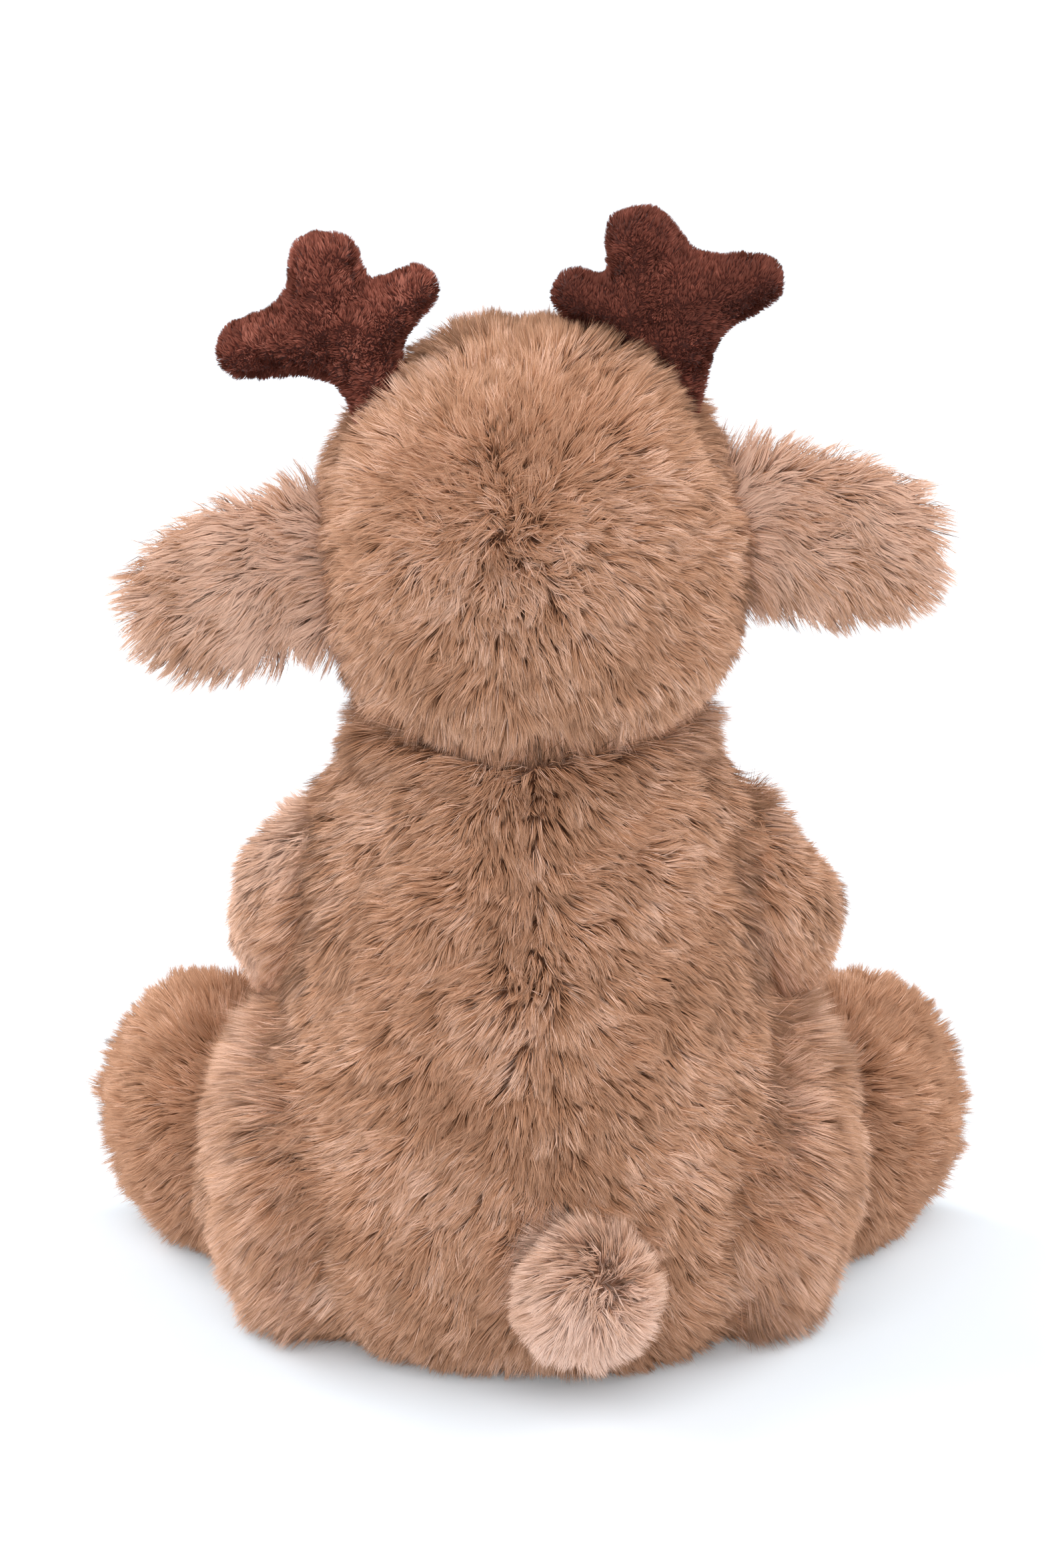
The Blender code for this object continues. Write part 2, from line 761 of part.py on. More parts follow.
tail_root = Vector((
    TAIL_ROOT_ASIDE,
    BODY_BACK_OFFSET + BODY_HALF_DEPTH * math.sqrt(1 - (TAIL_ROOT_ASIDE / BODY_HALF_WIDTH) ** 2),
    TAIL_ROOT_HEIGHT,
))
tail_pivot = new_empty("tail_pivot", TOY, tail_root)
tail_centre = TAIL_STANDOFF * Vector((
    -math.sin(TAIL_SWEEP_ASIDE) * math.cos(TAIL_DROOP),
    math.cos(TAIL_SWEEP_ASIDE) * math.cos(TAIL_DROOP),
    -math.sin(TAIL_DROOP),
))


def tail_dimple_cutter():
    mesh = ball_mesh(
        "tail_dimple", [TAIL_ROOT_RADIUS + MOVING_GAP] * 3, (0, 0, 0), TAIL_SEGMENTS, TAIL_RINGS
    )
    return place_cutter("tail_dimple", mesh, tail_pivot)


def build_tail():
    """The ball of plush, its short root, and its stuffing."""
    ball = ball_mesh("tail_skin", [TAIL_RADIUS] * 3, tail_centre, TAIL_SEGMENTS, TAIL_RINGS)
    skin = place("tail_skin", ball, tail_pivot, "plush_light")
    root_ball = place_cutter(
        "tail_root",
        ball_mesh("tail_root", [TAIL_ROOT_RADIUS] * 3, (0, 0, 0), TAIL_SEGMENTS, TAIL_RINGS),
        tail_pivot,
    )
    join(skin, root_ball)
    fill_radius = TAIL_RADIUS - SKIN_THICKNESS
    fill_cutter = place_cutter(
        "tail_hollow",
        ball_mesh("tail_hollow", [fill_radius] * 3, tail_centre, TAIL_SEGMENTS, TAIL_RINGS),
        tail_pivot,
    )
    channel = place_cutter(
        "tail_channel",
        rod_mesh("tail_channel", TAIL_ROOT_RADIUS / 2, -tail_centre / 2, tail_centre, TAIL_RINGS),
        tail_pivot,
    )
    cut(skin, fill_cutter, channel)
    place(
        "tail_stuffing",
        ball_mesh("tail_stuffing", [fill_radius - FIT_GAP] * 3, tail_centre, TAIL_SEGMENTS,
                  TAIL_RINGS),
        tail_pivot,
        "stuffing_white",
    )


# Head

def head_cage():
    rings = [Ring((0, 0, -NECK_BALL_RADIUS), 0, 0)]
    for degrees in NECK_CAP_ANGLES_DEG:
        angle = math.radians(degrees)
        out = NECK_BALL_RADIUS * math.sin(angle)
        rings.append(Ring((0, 0, -NECK_BALL_RADIUS * math.cos(angle)), out, out))
    rings += [
        Ring((0, 0, height * HEAD_HALF_HEIGHT), wide * HEAD_HALF_WIDTH, deep * HEAD_HALF_DEPTH)
        for height, wide, deep in HEAD_RING_SHARES
    ]
    rings.append(Ring((0, 0, HEAD_HALF_HEIGHT), 0, 0))
    return ring_cage("head_cage", HEAD_SIDES, rings, Vector((1, 0, 0)))


def ear_root(side):
    """The middle of the upright fold where an ear joins the head."""
    return Vector((side * (HEAD_HALF_WIDTH - EAR_ROOT_INSET), 0, 0))


def ear_frame(side_name, side):
    return new_empty("ear_pivot_" + side_name, head_frame, ear_root(side), side * EAR_TILT)


def ear_groove_cutter(side_name, frame):
    """A round groove along the ear's fold."""
    mesh = rod_mesh(
        "ear_groove_" + side_name,
        EAR_HALF_THICKNESS + MOVING_GAP,
        (0, 0, -EAR_ROOT_HALF_LENGTH),
        (0, 0, EAR_ROOT_HALF_LENGTH),
        NECK_TURN_STEPS,
    )
    return place_cutter("ear_groove_" + side_name, mesh, frame)


def antler_frame(side_name, side):
    """The root of an antler, which stands upright on the leaning head."""
    out, rise = (
        (LEFT_ANTLER_ROOT_OUT, LEFT_ANTLER_ROOT_RISE)
        if side > 0
        else (RIGHT_ANTLER_ROOT_OUT, RIGHT_ANTLER_ROOT_RISE)
    )
    root = (side * out, ANTLER_ROOT_BACK, rise)
    return new_empty("antler_pivot_" + side_name, head_frame, root, -HEAD_LEAN)


def antler_dish_cutter(side_name, frame):
    """A round dish in the crown that an antler's root rocks in, flared at its mouth."""
    name = "antler_dish_" + side_name
    radius = ANTLER_STEM_RADIUS + MOVING_GAP * 2
    profile = [(0, ANTLER_DISH_MOUTH), (radius + ANTLER_DISH_FLARE, ANTLER_DISH_MOUTH)]
    profile += arc(radius, math.pi / 2, 0, NECK_ARC_STEPS)
    return place_cutter(name, turned_mesh(name, profile, NECK_TURN_STEPS), frame)


def eye_frame(side_name, side):
    """A frame on the head's surface whose Z points out of the face."""
    out = Vector((
        side * math.sin(EYE_TURN) * math.cos(EYE_LIFT),
        -math.cos(EYE_TURN) * math.cos(EYE_LIFT),
        math.sin(EYE_LIFT),
    ))
    frame = new_empty("eye_seat_" + side_name, head_frame, out * HEAD_HALF_DEPTH)
    frame.rotation_mode = "QUATERNION"
    frame.rotation_quaternion = out.to_track_quat("Z", "Y")
    return frame


def shank_hole_cutter(name, frame, radius, depth, top):
    mesh = rod_mesh(name, radius, (0, 0, -depth), (0, 0, top), TAIL_SEGMENTS)
    return place_cutter(name, mesh, frame)


def dome_profile(radius, height):
    """From a dome's top to its rim, which stands a fit gap above the cloth."""
    angles = np.linspace(0, math.pi / 2, DOME_STEPS)
    return [(radius * math.sin(a), height * math.cos(a) + FIT_GAP) for a in angles]


def build_eye(side_name, frame):
    """A domed safety eye with its shank, and the washer that holds it from inside."""
    dome = dome_profile(EYE_RADIUS, EYE_DOME_HEIGHT)
    profile = [*dome, (SHANK_RADIUS, FIT_GAP), (SHANK_RADIUS, -SHANK_LENGTH), (0, -SHANK_LENGTH)]
    place("eye_" + side_name, turned_mesh("eye_" + side_name, profile, TAIL_SEGMENTS), frame,
          "eye_black")
    build_washer("eye_washer_" + side_name, frame, -SKIN_THICKNESS - WASHER_SETBACK)


def build_washer(name, frame, height):
    low = height - WASHER_THICKNESS
    inner = SHANK_RADIUS + FIT_GAP
    profile = [(inner, height), (WASHER_RADIUS, height), (WASHER_RADIUS, low), (inner, low),
               (inner, height)]
    place(name, turned_mesh(name, profile, TAIL_SEGMENTS), frame, "washer_plastic")


def washer_pocket_cutter(name, frame, height):
    """Room in the stuffing for a washer, reached along the shank's hole."""
    mesh = rod_mesh(
        name,
        WASHER_RADIUS + FIT_GAP,
        (0, 0, height - WASHER_THICKNESS - FIT_GAP),
        (0, 0, WASHER_RADIUS),
        TAIL_SEGMENTS,
    )
    return place_cutter(name, mesh, frame)


def build_head(cage):
    """The head's two skins and stuffing, with the grooves and holes that its fittings need."""
    ears = {name: ear_frame(name, side) for name, side in SIDES}
    antlers = {name: antler_frame(name, side) for name, side in SIDES}
    eyes = {name: eye_frame(name, side) for name, side in SIDES}
    tools = []
    fill_tools = []
    for name, side in SIDES:
        tools.append(ear_groove_cutter(name, ears[name]))
        tools.append(antler_dish_cutter(name, antlers[name]))
        tools.append(shank_hole_cutter(
            "eye_hole_" + name, eyes[name], SHANK_RADIUS + FIT_GAP, SHANK_LENGTH + FIT_GAP,
            SHANK_LENGTH))
        fill_tools.append(washer_pocket_cutter(
            "eye_pocket_" + name, eyes[name], -SKIN_THICKNESS - WASHER_SETBACK))
    for name, side in SIDES:
        half_skin("head_skin_" + name, cage, side, head_frame, tools)
    stuffing("head_stuffing", cage, head_frame, [*tools, *fill_tools])
    for name, side in SIDES:
        build_eye(name, eyes[name])
        build_ear(name, side, ears[name])
        build_antler(name, side, antlers[name])
    build_muzzle(cage)


def build_muzzle(cage):
    """The muzzle's skin and stuffing in front of the head, and the nose with its washer."""
    centre = Vector((0, -MUZZLE_FORWARD, -MUZZLE_DROP))
    radii = Vector((MUZZLE_HALF_WIDTH, MUZZLE_HALF_DEPTH, MUZZLE_HALF_HEIGHT))
    behind = form_cutter("muzzle_back", cage, head_frame, FIT_GAP)
    nose_drop = NOSE_RISE / MUZZLE_HALF_HEIGHT
    nose_front = -MUZZLE_HALF_DEPTH * math.sqrt(1 - nose_drop**2)
    frame = new_empty("nose_seat", head_frame, centre + Vector((0, nose_front, NOSE_RISE)))
    frame.rotation_mode = "QUATERNION"
    frame.rotation_quaternion = Vector((0, -1, nose_drop)).to_track_quat("Z", "Y")
    hole = shank_hole_cutter(
        "nose_hole", frame, SHANK_RADIUS + FIT_GAP, SHANK_LENGTH + FIT_GAP, SHANK_LENGTH
    )
    pocket = washer_pocket_cutter("nose_pocket", frame, -SKIN_THICKNESS - WASHER_SETBACK)
    skin = place(
        "muzzle_skin",
        ball_mesh("muzzle_skin", radii, centre, MUZZLE_SIDES * 2, MUZZLE_SIDES),
        head_frame,
        "plush_light",
    )
    shell(skin, SKIN_THICKNESS)
    cut(skin, behind, hole)
    fill = place(
        "muzzle_stuffing",
        ball_mesh("muzzle_stuffing", radii, centre, MUZZLE_SIDES * 2, MUZZLE_SIDES),
        head_frame,
        "stuffing_white",
    )
    grow(fill, -(SKIN_THICKNESS + FIT_GAP))
    cut(fill, behind, hole, pocket)
    build_nose(frame)


def build_nose(frame):
    dome = dome_profile(NOSE_HALF_WIDTH, NOSE_DEPTH)
    profile = [*dome, (SHANK_RADIUS, FIT_GAP), (SHANK_RADIUS, -SHANK_LENGTH), (0, -SHANK_LENGTH)]
    place("nose", turned_mesh("nose", profile, TAIL_SEGMENTS), frame, "nose_brown")
    build_washer("nose_washer", frame, -SKIN_THICKNESS - WASHER_SETBACK)


def build_ear(side_name, side, frame):
    """An ear's outer layer behind and its lining in front, split along the ear's middle sheet."""
    rings = [
        Ring(
            (side * along * EAR_LENGTH, 0, -droop * EAR_DROOP),
            high * EAR_HALF_HEIGHT,
            thick * EAR_HALF_THICKNESS,
        )
        for along, high, thick, droop in EAR_RING_SHARES
    ]
    cage = ring_cage("ear_" + side_name, EAR_SIDES, rings, Vector((0, 0, 1)))
    for layer, front, finish in (("ear_outer_", -1, "plush_tan"), ("ear_lining_", 1, "plush_light")):
        name = layer + side_name
        piece = place(name, cage.copy(), frame, finish)
        smooth(piece)
        edges = sorted((front * CUTTER_REACH, -front * FIT_GAP / 2))
        half = cutter_box(
            name + "_half",
            frame,
            (-CUTTER_REACH, edges[0], -CUTTER_REACH),
            (CUTTER_REACH, edges[1], CUTTER_REACH),
        )
        cut(piece, half)


def antler_mesh(side_name, side, shares):
    """A branching form grown round the antler's bends."""
    mesh = bpy.data.meshes.new("antler_" + side_name)
    points = [(side * out * ANTLER_HEIGHT, 0, up * ANTLER_HEIGHT) for out, up, thick in shares]
    mesh.from_pydata(points, ANTLER_LINKS, [])
    branching = place_cutter("antler_bends_" + side_name, mesh, None)
    branching.modifiers.new("Branch", "SKIN")
    square_ring_swell = ring_swell(4) / math.sqrt(2)
    for index, (out, up, thick) in enumerate(shares):
        radius = thick * ANTLER_STEM_RADIUS * square_ring_swell
        mesh.skin_vertices[0].data[index].radius = (radius, radius)
    mesh.skin_vertices[0].data[0].use_root = True
    form = finished_mesh(branching)
    bpy.data.objects.remove(branching)
    for vert in form.vertices:
        vert.co.y *= ANTLER_FLATNESS
    return form


def build_antler(side_name, side, frame):
    """An antler's short-pile skin, open at the root, round its stuffing."""
    shares = LEFT_ANTLER_SHARES if side > 0 else RIGHT_ANTLER_SHARES
    form = antler_mesh(side_name, side, shares)
    below = cutter_box(
        "antler_root_cut_" + side_name,
        frame,
        (-CUTTER_REACH, -CUTTER_REACH, -CUTTER_REACH),
        (CUTTER_REACH, CUTTER_REACH, -ANTLER_ROOT_DEPTH),
    )
    stuffed_skin("antler_skin_" + side_name, form, frame, "antler_brown", [below],
                 SHORT_PILE_SKIN_THICKNESS)
    stuffing("antler_stuffing_" + side_name, form, frame, [below], SHORT_PILE_SKIN_THICKNESS)


# Arms and legs

def build_arm(side_name, side):
    """An arm's skin and stuffing, cut to slide on the body's flank."""
    pivot_place = Vector((side * FLANK_UPPER_OUT, 0, ARM_SHOULDER_HEIGHT))
    pivot = new_empty("arm_pivot_" + side_name, TOY, pivot_place)
    rings = [
        Ring(
            Vector((side * out * ARM_OUT, -forward * ARM_REACH, ARM_SHOULDER_HEIGHT - drop * ARM_DROP))
            - pivot_place,
            across * ARM_HALF_THICKNESS,
            deep * ARM_HALF_THICKNESS,
        )
        for out, forward, drop, across, deep in ARM_RING_SHARES
    ]
    cage = ring_cage("arm_" + side_name, ARM_SIDES, rings, Vector((1, 0, 0)))
    flank = flank_cutter("arm_flank_" + side_name, side, True, MOVING_GAP)
    stuffed_skin("arm_skin_" + side_name, cage, pivot, "plush_tan", [flank])
    stuffing("arm_stuffing_" + side_name, cage, pivot, [flank])


def build_leg(side_name, side):
    """A leg's skin and stuffing, flat at the hip, the floor and the sole, with its sole pad."""
    pivot_place = Vector((side * HIP_PLANE_OUT, LEG_PIVOT_BACK, LEG_PIVOT_HEIGHT))
    pivot = new_empty("leg_pivot_" + side_name, TOY, pivot_place)
    reach = THIGH_BACK + LEG_REACH
    rings = [
        Ring(
            Vector((
                side * out * LEG_OUT,
                THIGH_BACK - forward * reach,
                height * THIGH_HALF_HEIGHT - SEAT_FLAT_DEPTH,
            ))
            - pivot_place,
            wide * THIGH_HALF_HEIGHT,
            high * THIGH_HALF_HEIGHT,
        )
        for out, forward, wide, high, height in LEG_RING_SHARES
    ]
    cage = ring_cage("leg_" + side_name, LEG_SIDES, rings, Vector((1, 0, 0)))
    floor = ground_cutter("leg_floor_" + side_name, pivot, -LEG_PIVOT_HEIGHT)
    hip = hip_cutter("leg_hip_" + side_name, side, True, MOVING_GAP)
    tip = Vector((
        side * LEG_RING_SHARES[-1][0] * LEG_OUT, -LEG_REACH, SOLE_PAD_RISE
    )) - pivot_place
    sole = new_empty("sole_" + side_name, pivot, tip)
    sole.rotation_euler = (0, 0, side * SOLE_TURN)
    sole_cut = cutter_box(
        "sole_cut_" + side_name,
        sole,
        (-CUTTER_REACH, -CUTTER_REACH, -CUTTER_REACH),
        (CUTTER_REACH, SOLE_SETBACK, CUTTER_REACH),
    )
    stuffed_skin("leg_skin_" + side_name, cage, pivot, "plush_tan", [floor, hip, sole_cut])
    stuffing("leg_stuffing_" + side_name, cage, pivot, [floor, hip, sole_cut])
    pad = place(
        "sole_pad_" + side_name,
        disc_mesh("sole_pad_" + side_name, SOLE_PAD_HALF_WIDTH, SOLE_PAD_HALF_HEIGHT,
                  SOLE_PAD_THICKNESS, NECK_TURN_STEPS),
        sole,
        "plush_light",
    )
    pad.location = (0, SOLE_SETBACK - FIT_GAP, 0)
    pad.rotation_euler = (math.pi / 2, 0, 0)


def build_deer():
    """Build every piece of the toy."""
    build_neck()
    build_body(body_cage(), tail_dimple_cutter())
    build_tail()
    build_head(head_cage())
    for side_name, side in SIDES:
        build_arm(side_name, side)
        build_leg(side_name, side)


build_deer()
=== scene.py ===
"""Plush deer, dressed: sewn padded forms, their pile, a plain face and a white studio."""
import logging
import math
from collections.abc import Callable
from dataclasses import dataclass, field
from enum import Enum

import bmesh
import bpy
import numpy as np
from mathutils import Matrix, Vector
from mathutils.bvhtree import BVHTree
from mathutils.kdtree import KDTree


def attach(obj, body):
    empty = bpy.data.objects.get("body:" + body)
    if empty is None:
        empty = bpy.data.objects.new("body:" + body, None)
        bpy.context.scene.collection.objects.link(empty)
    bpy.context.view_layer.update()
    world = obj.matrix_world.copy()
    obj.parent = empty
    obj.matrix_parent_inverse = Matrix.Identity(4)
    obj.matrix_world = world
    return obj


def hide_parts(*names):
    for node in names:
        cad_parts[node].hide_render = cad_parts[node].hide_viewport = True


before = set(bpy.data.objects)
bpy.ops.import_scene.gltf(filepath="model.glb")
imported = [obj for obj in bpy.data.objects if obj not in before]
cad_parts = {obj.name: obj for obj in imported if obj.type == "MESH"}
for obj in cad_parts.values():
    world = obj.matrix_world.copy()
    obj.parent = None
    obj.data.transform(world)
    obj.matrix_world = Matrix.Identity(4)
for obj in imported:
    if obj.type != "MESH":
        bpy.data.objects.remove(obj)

MM = 0.001
WHITE = (1.0, 1.0, 1.0, 1.0)
SRGB_STEP = 0.04045
FLOOR_CLEARANCE = 0.3 * MM
COLOUR_MAP = "OFBake"

Rows = np.ndarray
Comb = Callable[[Rows, Rows], Rows]
Pick = Callable[[Rows, Rows], Rows]

log = logging.getLogger("plush_deer")
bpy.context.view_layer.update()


class Slot(Enum):
    """The record's material slots."""

    TAN = "plush_tan"
    LIGHT = "plush_light"
    ANTLER = "antler_brown"
    STUFFING = "stuffing_white"
    SEAT = "seat_cloth"


class Side(Enum):
    """A side of the toy: its own left is at +X."""

    LEFT = 1
    RIGHT = -1

    @property
    def word(self) -> str:
        """The side's word in the names of pieces."""
        return self.name.lower()


def unit(rows: Rows) -> Rows:
    """Rows scaled to length one."""
    return rows / np.maximum(np.linalg.norm(rows, axis=1, keepdims=True), 1e-12)


def flat_on(rows: Rows, normals: Rows) -> Rows:
    """Directions laid flat on the surface and scaled to length one."""
    return unit(rows - normals * np.sum(rows * normals, axis=1, keepdims=True))


def turned(rows: Rows, axes: Rows, angles: Rows) -> Rows:
    """Rows turned about their own axes.

    Args:
        rows: Vectors to turn.
        axes: One unit axis for each row.
        angles: One angle in radians for each row.

    Returns:
        The turned vectors.
    """
    cosine = np.cos(angles)[:, None]
    sine = np.sin(angles)[:, None]
    along = np.sum(rows * axes, axis=1, keepdims=True)
    return rows * cosine + np.cross(axes, rows) * sine + axes * along * (1 - cosine)


def smooth_step(values: Rows, start: float, end: float) -> Rows:
    """Values eased from 0 at start to 1 at end."""
    share = np.clip((values - start) / (end - start), 0, 1)
    return share * share * (3 - 2 * share)


@dataclass(frozen=True)
class Ripple:
    """Smooth seeded variation through space, mostly between -1 and 1."""

    seed: int
    wavelength: float
    waves: int = 7

    def at(self, points: Rows) -> Rows:
        """The variation at each point.

        Args:
            points: Places in metres, one a row.

        Returns:
            One value for each point.
        """
        rng = np.random.default_rng(self.seed)
        ways = unit(rng.normal(size=(self.waves, 3)))
        rates = 2 * math.pi / self.wavelength * rng.uniform(0.6, 1.5, self.waves)
        phases = rng.uniform(0, 2 * math.pi, self.waves)
        return np.sin(points @ (ways * rates[:, None]).T + phases).sum(axis=1) / math.sqrt(self.waves)


@dataclass(frozen=True)
class Dye:
    """A colour as the eye sees it, each channel from 0 to 255."""

    red: float
    green: float
    blue: float

    def rgba(self) -> tuple[float, float, float, float]:
        """The colour in the linear values that the shaders take."""
        channels = [value / 255 for value in (self.red, self.green, self.blue)]
        linear = [
            value / 12.92 if value <= SRGB_STEP else ((value + 0.055) / 1.055) ** 2.4 for value in channels
        ]
        return linear[0], linear[1], linear[2], 1.0


class NodeBoard:
    """The nodes of one tree, added and joined in reading order."""

    def __init__(self, tree: bpy.types.NodeTree) -> None:
        """Starts on a tree."""
        self.tree = tree

    def add(self, kind: str, **settings: object) -> bpy.types.Node:
        """Adds a node.

        Args:
            kind: The node's type without its ShaderNode prefix.
            settings: Properties to set on it.

        Returns:
            The new node.
        """
        node = self.tree.nodes.new("ShaderNode" + kind)
        for name, value in settings.items():
            setattr(node, name, value)
        return node

    def feed(self, node: bpy.types.Node, values: dict[str | int, object]) -> bpy.types.Node:
        """Gives a node's inputs their values or links.

        Args:
            node: The node to feed.
            values: A plain value or an output socket for each input, by name or place.

        Returns:
            The same node.
        """
        for name, value in values.items():
            if isinstance(value, bpy.types.NodeSocket):
                self.tree.links.new(value, node.inputs[name])
            else:
                node.inputs[name].default_value = value
        return node

    def sum_of(self, operation: str, *values: object) -> bpy.types.NodeSocket:
        """The result of one sum on numbers or sockets."""
        return self.feed(self.add("Math", operation=operation), dict(enumerate(values))).outputs[0]

    def mixed(self, share: object, first: object, second: object) -> bpy.types.NodeSocket:
        """A colour between two others."""
        node = self.add("Mix", data_type="RGBA")
        return self.feed(node, {0: share, 6: first, 7: second}).outputs[2]

    def eased(self, value: object, start: float, end: float) -> bpy.types.NodeSocket:
        """A value eased from 0 at start to 1 at end."""
        node = self.add("MapRange", interpolation_type="SMOOTHSTEP")
        return self.feed(node, {0: value, 1: start, 2: end}).outputs[0]


@dataclass(frozen=True)
class Effect:
    """A shader effect that several finishes share: a node group with named inputs and outputs."""

    name: str
    inputs: tuple[tuple[str, str, object], ...]
    outputs: tuple[tuple[str, str], ...]
    wire: Callable[[NodeBoard, bpy.types.Node], dict[str, bpy.types.NodeSocket]]

    def tree(self) -> bpy.types.NodeTree:
        """The node group, built the first time it is asked for."""
        found = bpy.data.node_groups.get(self.name)
        if found:
            return found
        tree = bpy.data.node_groups.new(self.name, "ShaderNodeTree")
        for name, kind, value in self.inputs:
            socket = tree.interface.new_socket(name, in_out="INPUT", socket_type="NodeSocket" + kind)
            if value is not None:
                socket.default_value = value
        for name, kind in self.outputs:
            tree.interface.new_socket(name, in_out="OUTPUT", socket_type="NodeSocket" + kind)
        board = NodeBoard(tree)
        given = tree.nodes.new("NodeGroupInput")
        result = tree.nodes.new("NodeGroupOutput")
        board.feed(result, dict(self.wire(board, given)))
        return tree

    def place(self, board: NodeBoard, values: dict[str | int, object]) -> bpy.types.Node:
        """Puts the effect into a material with its own values."""
        node = board.add("Group", node_tree=self.tree())
        return board.feed(node, values)


def wire_pile_shade(board: NodeBoard, given: bpy.types.Node) -> dict[str, bpy.types.NodeSocket]:
    """Colour of a strand from its height and its lightness, which carries painted light and shade besides random
    tone.
    """
    # Darker roots and paler tips: partly the fur's dye, partly painted shade deep in the pile and painted light
    # through the tips.
    low = board.eased(given.outputs["Height"], 0.1, 0.7)
    high = board.eased(given.outputs["Height"], 0.5, 1.0)
    lower = board.mixed(low, given.outputs["Root colour"], given.outputs["Body colour"])
    whole = board.mixed(high, lower, given.outputs["Tip colour"])
    # Lighter strands fade to the pale colour: random pale streaks, and the painted light of pale rims where the
    # lightness is raised.
    paleness = board.sum_of(
        "MULTIPLY", board.eased(given.outputs["Shade"], 0.45, 1.0), given.outputs["Paleness"]
    )
    faded = board.mixed(paleness, whole, given.outputs["Pale colour"])
    off = board.sum_of("SUBTRACT", given.outputs["Shade"], 0.5)
    gain = board.sum_of("MULTIPLY_ADD", off, given.outputs["Spread"], 1.0)
    scaled = board.feed(board.add("VectorMath", operation="SCALE"), {"Vector": faded, "Scale": gain})
    return {"Colour": scaled.outputs[0]}


def wire_fibre_mat(board: NodeBoard, given: bpy.types.Node) -> dict[str, bpy.types.NodeSocket]:
    """Tangled short fibres: a mask and a height."""
    coarse = board.add("TexNoise")
    board.feed(coarse, {"Vector": given.outputs["Position"], "Scale": given.outputs["Scale"], "Detail": 5.0})
    bent = board.add("VectorMath", operation="MULTIPLY_ADD")
    board.feed(bent, {0: coarse.outputs["Color"], 1: (0.004, 0.004, 0.004), 2: given.outputs["Position"]})
    fine = board.add("TexNoise")
    rate = board.sum_of("MULTIPLY", given.outputs["Scale"], 3.5)
    board.feed(fine, {"Vector": bent.outputs[0], "Scale": rate, "Detail": 3.0, "Roughness": 0.7})
    height = board.sum_of(
        "MULTIPLY_ADD", fine.outputs[0], 0.6, board.sum_of("MULTIPLY", coarse.outputs[0], 0.4)
    )
    return {"Mask": board.eased(height, 0.36, 0.64), "Height": height}


def wire_weave(board: NodeBoard, given: bpy.types.Node) -> dict[str, bpy.types.NodeSocket]:
    """Plain woven threads: a mask of the threads and a height."""
    heights = []
    for direction in ("X", "Y"):
        band = board.add("TexWave", wave_type="BANDS", bands_direction=direction)
        board.feed(
            band, {"Vector": given.outputs["Position"], "Scale": given.outputs["Scale"], "Distortion": 0.6}
        )
        heights.append(band.outputs["Fac"])
    height = board.sum_of("MAXIMUM", *heights)
    return {"Mask": board.eased(height, 0.3, 0.9), "Height": height}


def wire_handling(board: NodeBoard, given: bpy.types.Node) -> dict[str, bpy.types.NodeSocket]:
    """Patches where hands and dust have changed a colour."""
    patches = board.add("TexNoise")
    board.feed(patches, {"Vector": given.outputs["Position"], "Scale": given.outputs["Scale"], "Detail": 4.0})
    share = board.sum_of("MULTIPLY", board.eased(patches.outputs[0], 0.4, 0.7), given.outputs["Amount"])
    return {
        "Colour": board.mixed(share, given.outputs["Colour"], given.outputs["Worn colour"]), "Mask": share
    }


PILE_SHADE = Effect(
    "Pile shade",
    (
        ("Shade", "Float", 0.5),
        ("Height", "Float", 0.5),
        ("Spread", "Float", 0.4),
        ("Root colour", "Color", None),
        ("Body colour", "Color", None),
        ("Tip colour", "Color", None),
        ("Pale colour", "Color", None),
        ("Paleness", "Float", 0.7),
    ),
    (("Colour", "Color"),),
    wire_pile_shade,
)
FIBRE_MAT = Effect(
    "Fibre mat",
    (("Position", "Vector", None), ("Scale", "Float", 400.0)),
    (("Mask", "Float"), ("Height", "Float")),
    wire_fibre_mat,
)
WEAVE = Effect(
    "Plain weave",
    (("Position", "Vector", None), ("Scale", "Float", 400.0)),
    (("Mask", "Float"), ("Height", "Float")),
    wire_weave,
)
HANDLING = Effect(
    "Handling",
    (
        ("Colour", "Color", None),
        ("Worn colour", "Color", None),
        ("Position", "Vector", None),
        ("Scale", "Float", 60.0),
        ("Amount", "Float", 0.4),
    ),
    (("Colour", "Color"), ("Mask", "Float")),
    wire_handling,
)


def blank_material(name: str) -> tuple[bpy.types.Material, NodeBoard, bpy.types.Node]:
    """A node material with its surface shader and its board."""
    material = bpy.data.materials.new(name)
    material.use_nodes = True
    shader = material.node_tree.nodes["Principled BSDF"]
    return material, NodeBoard(material.node_tree), shader


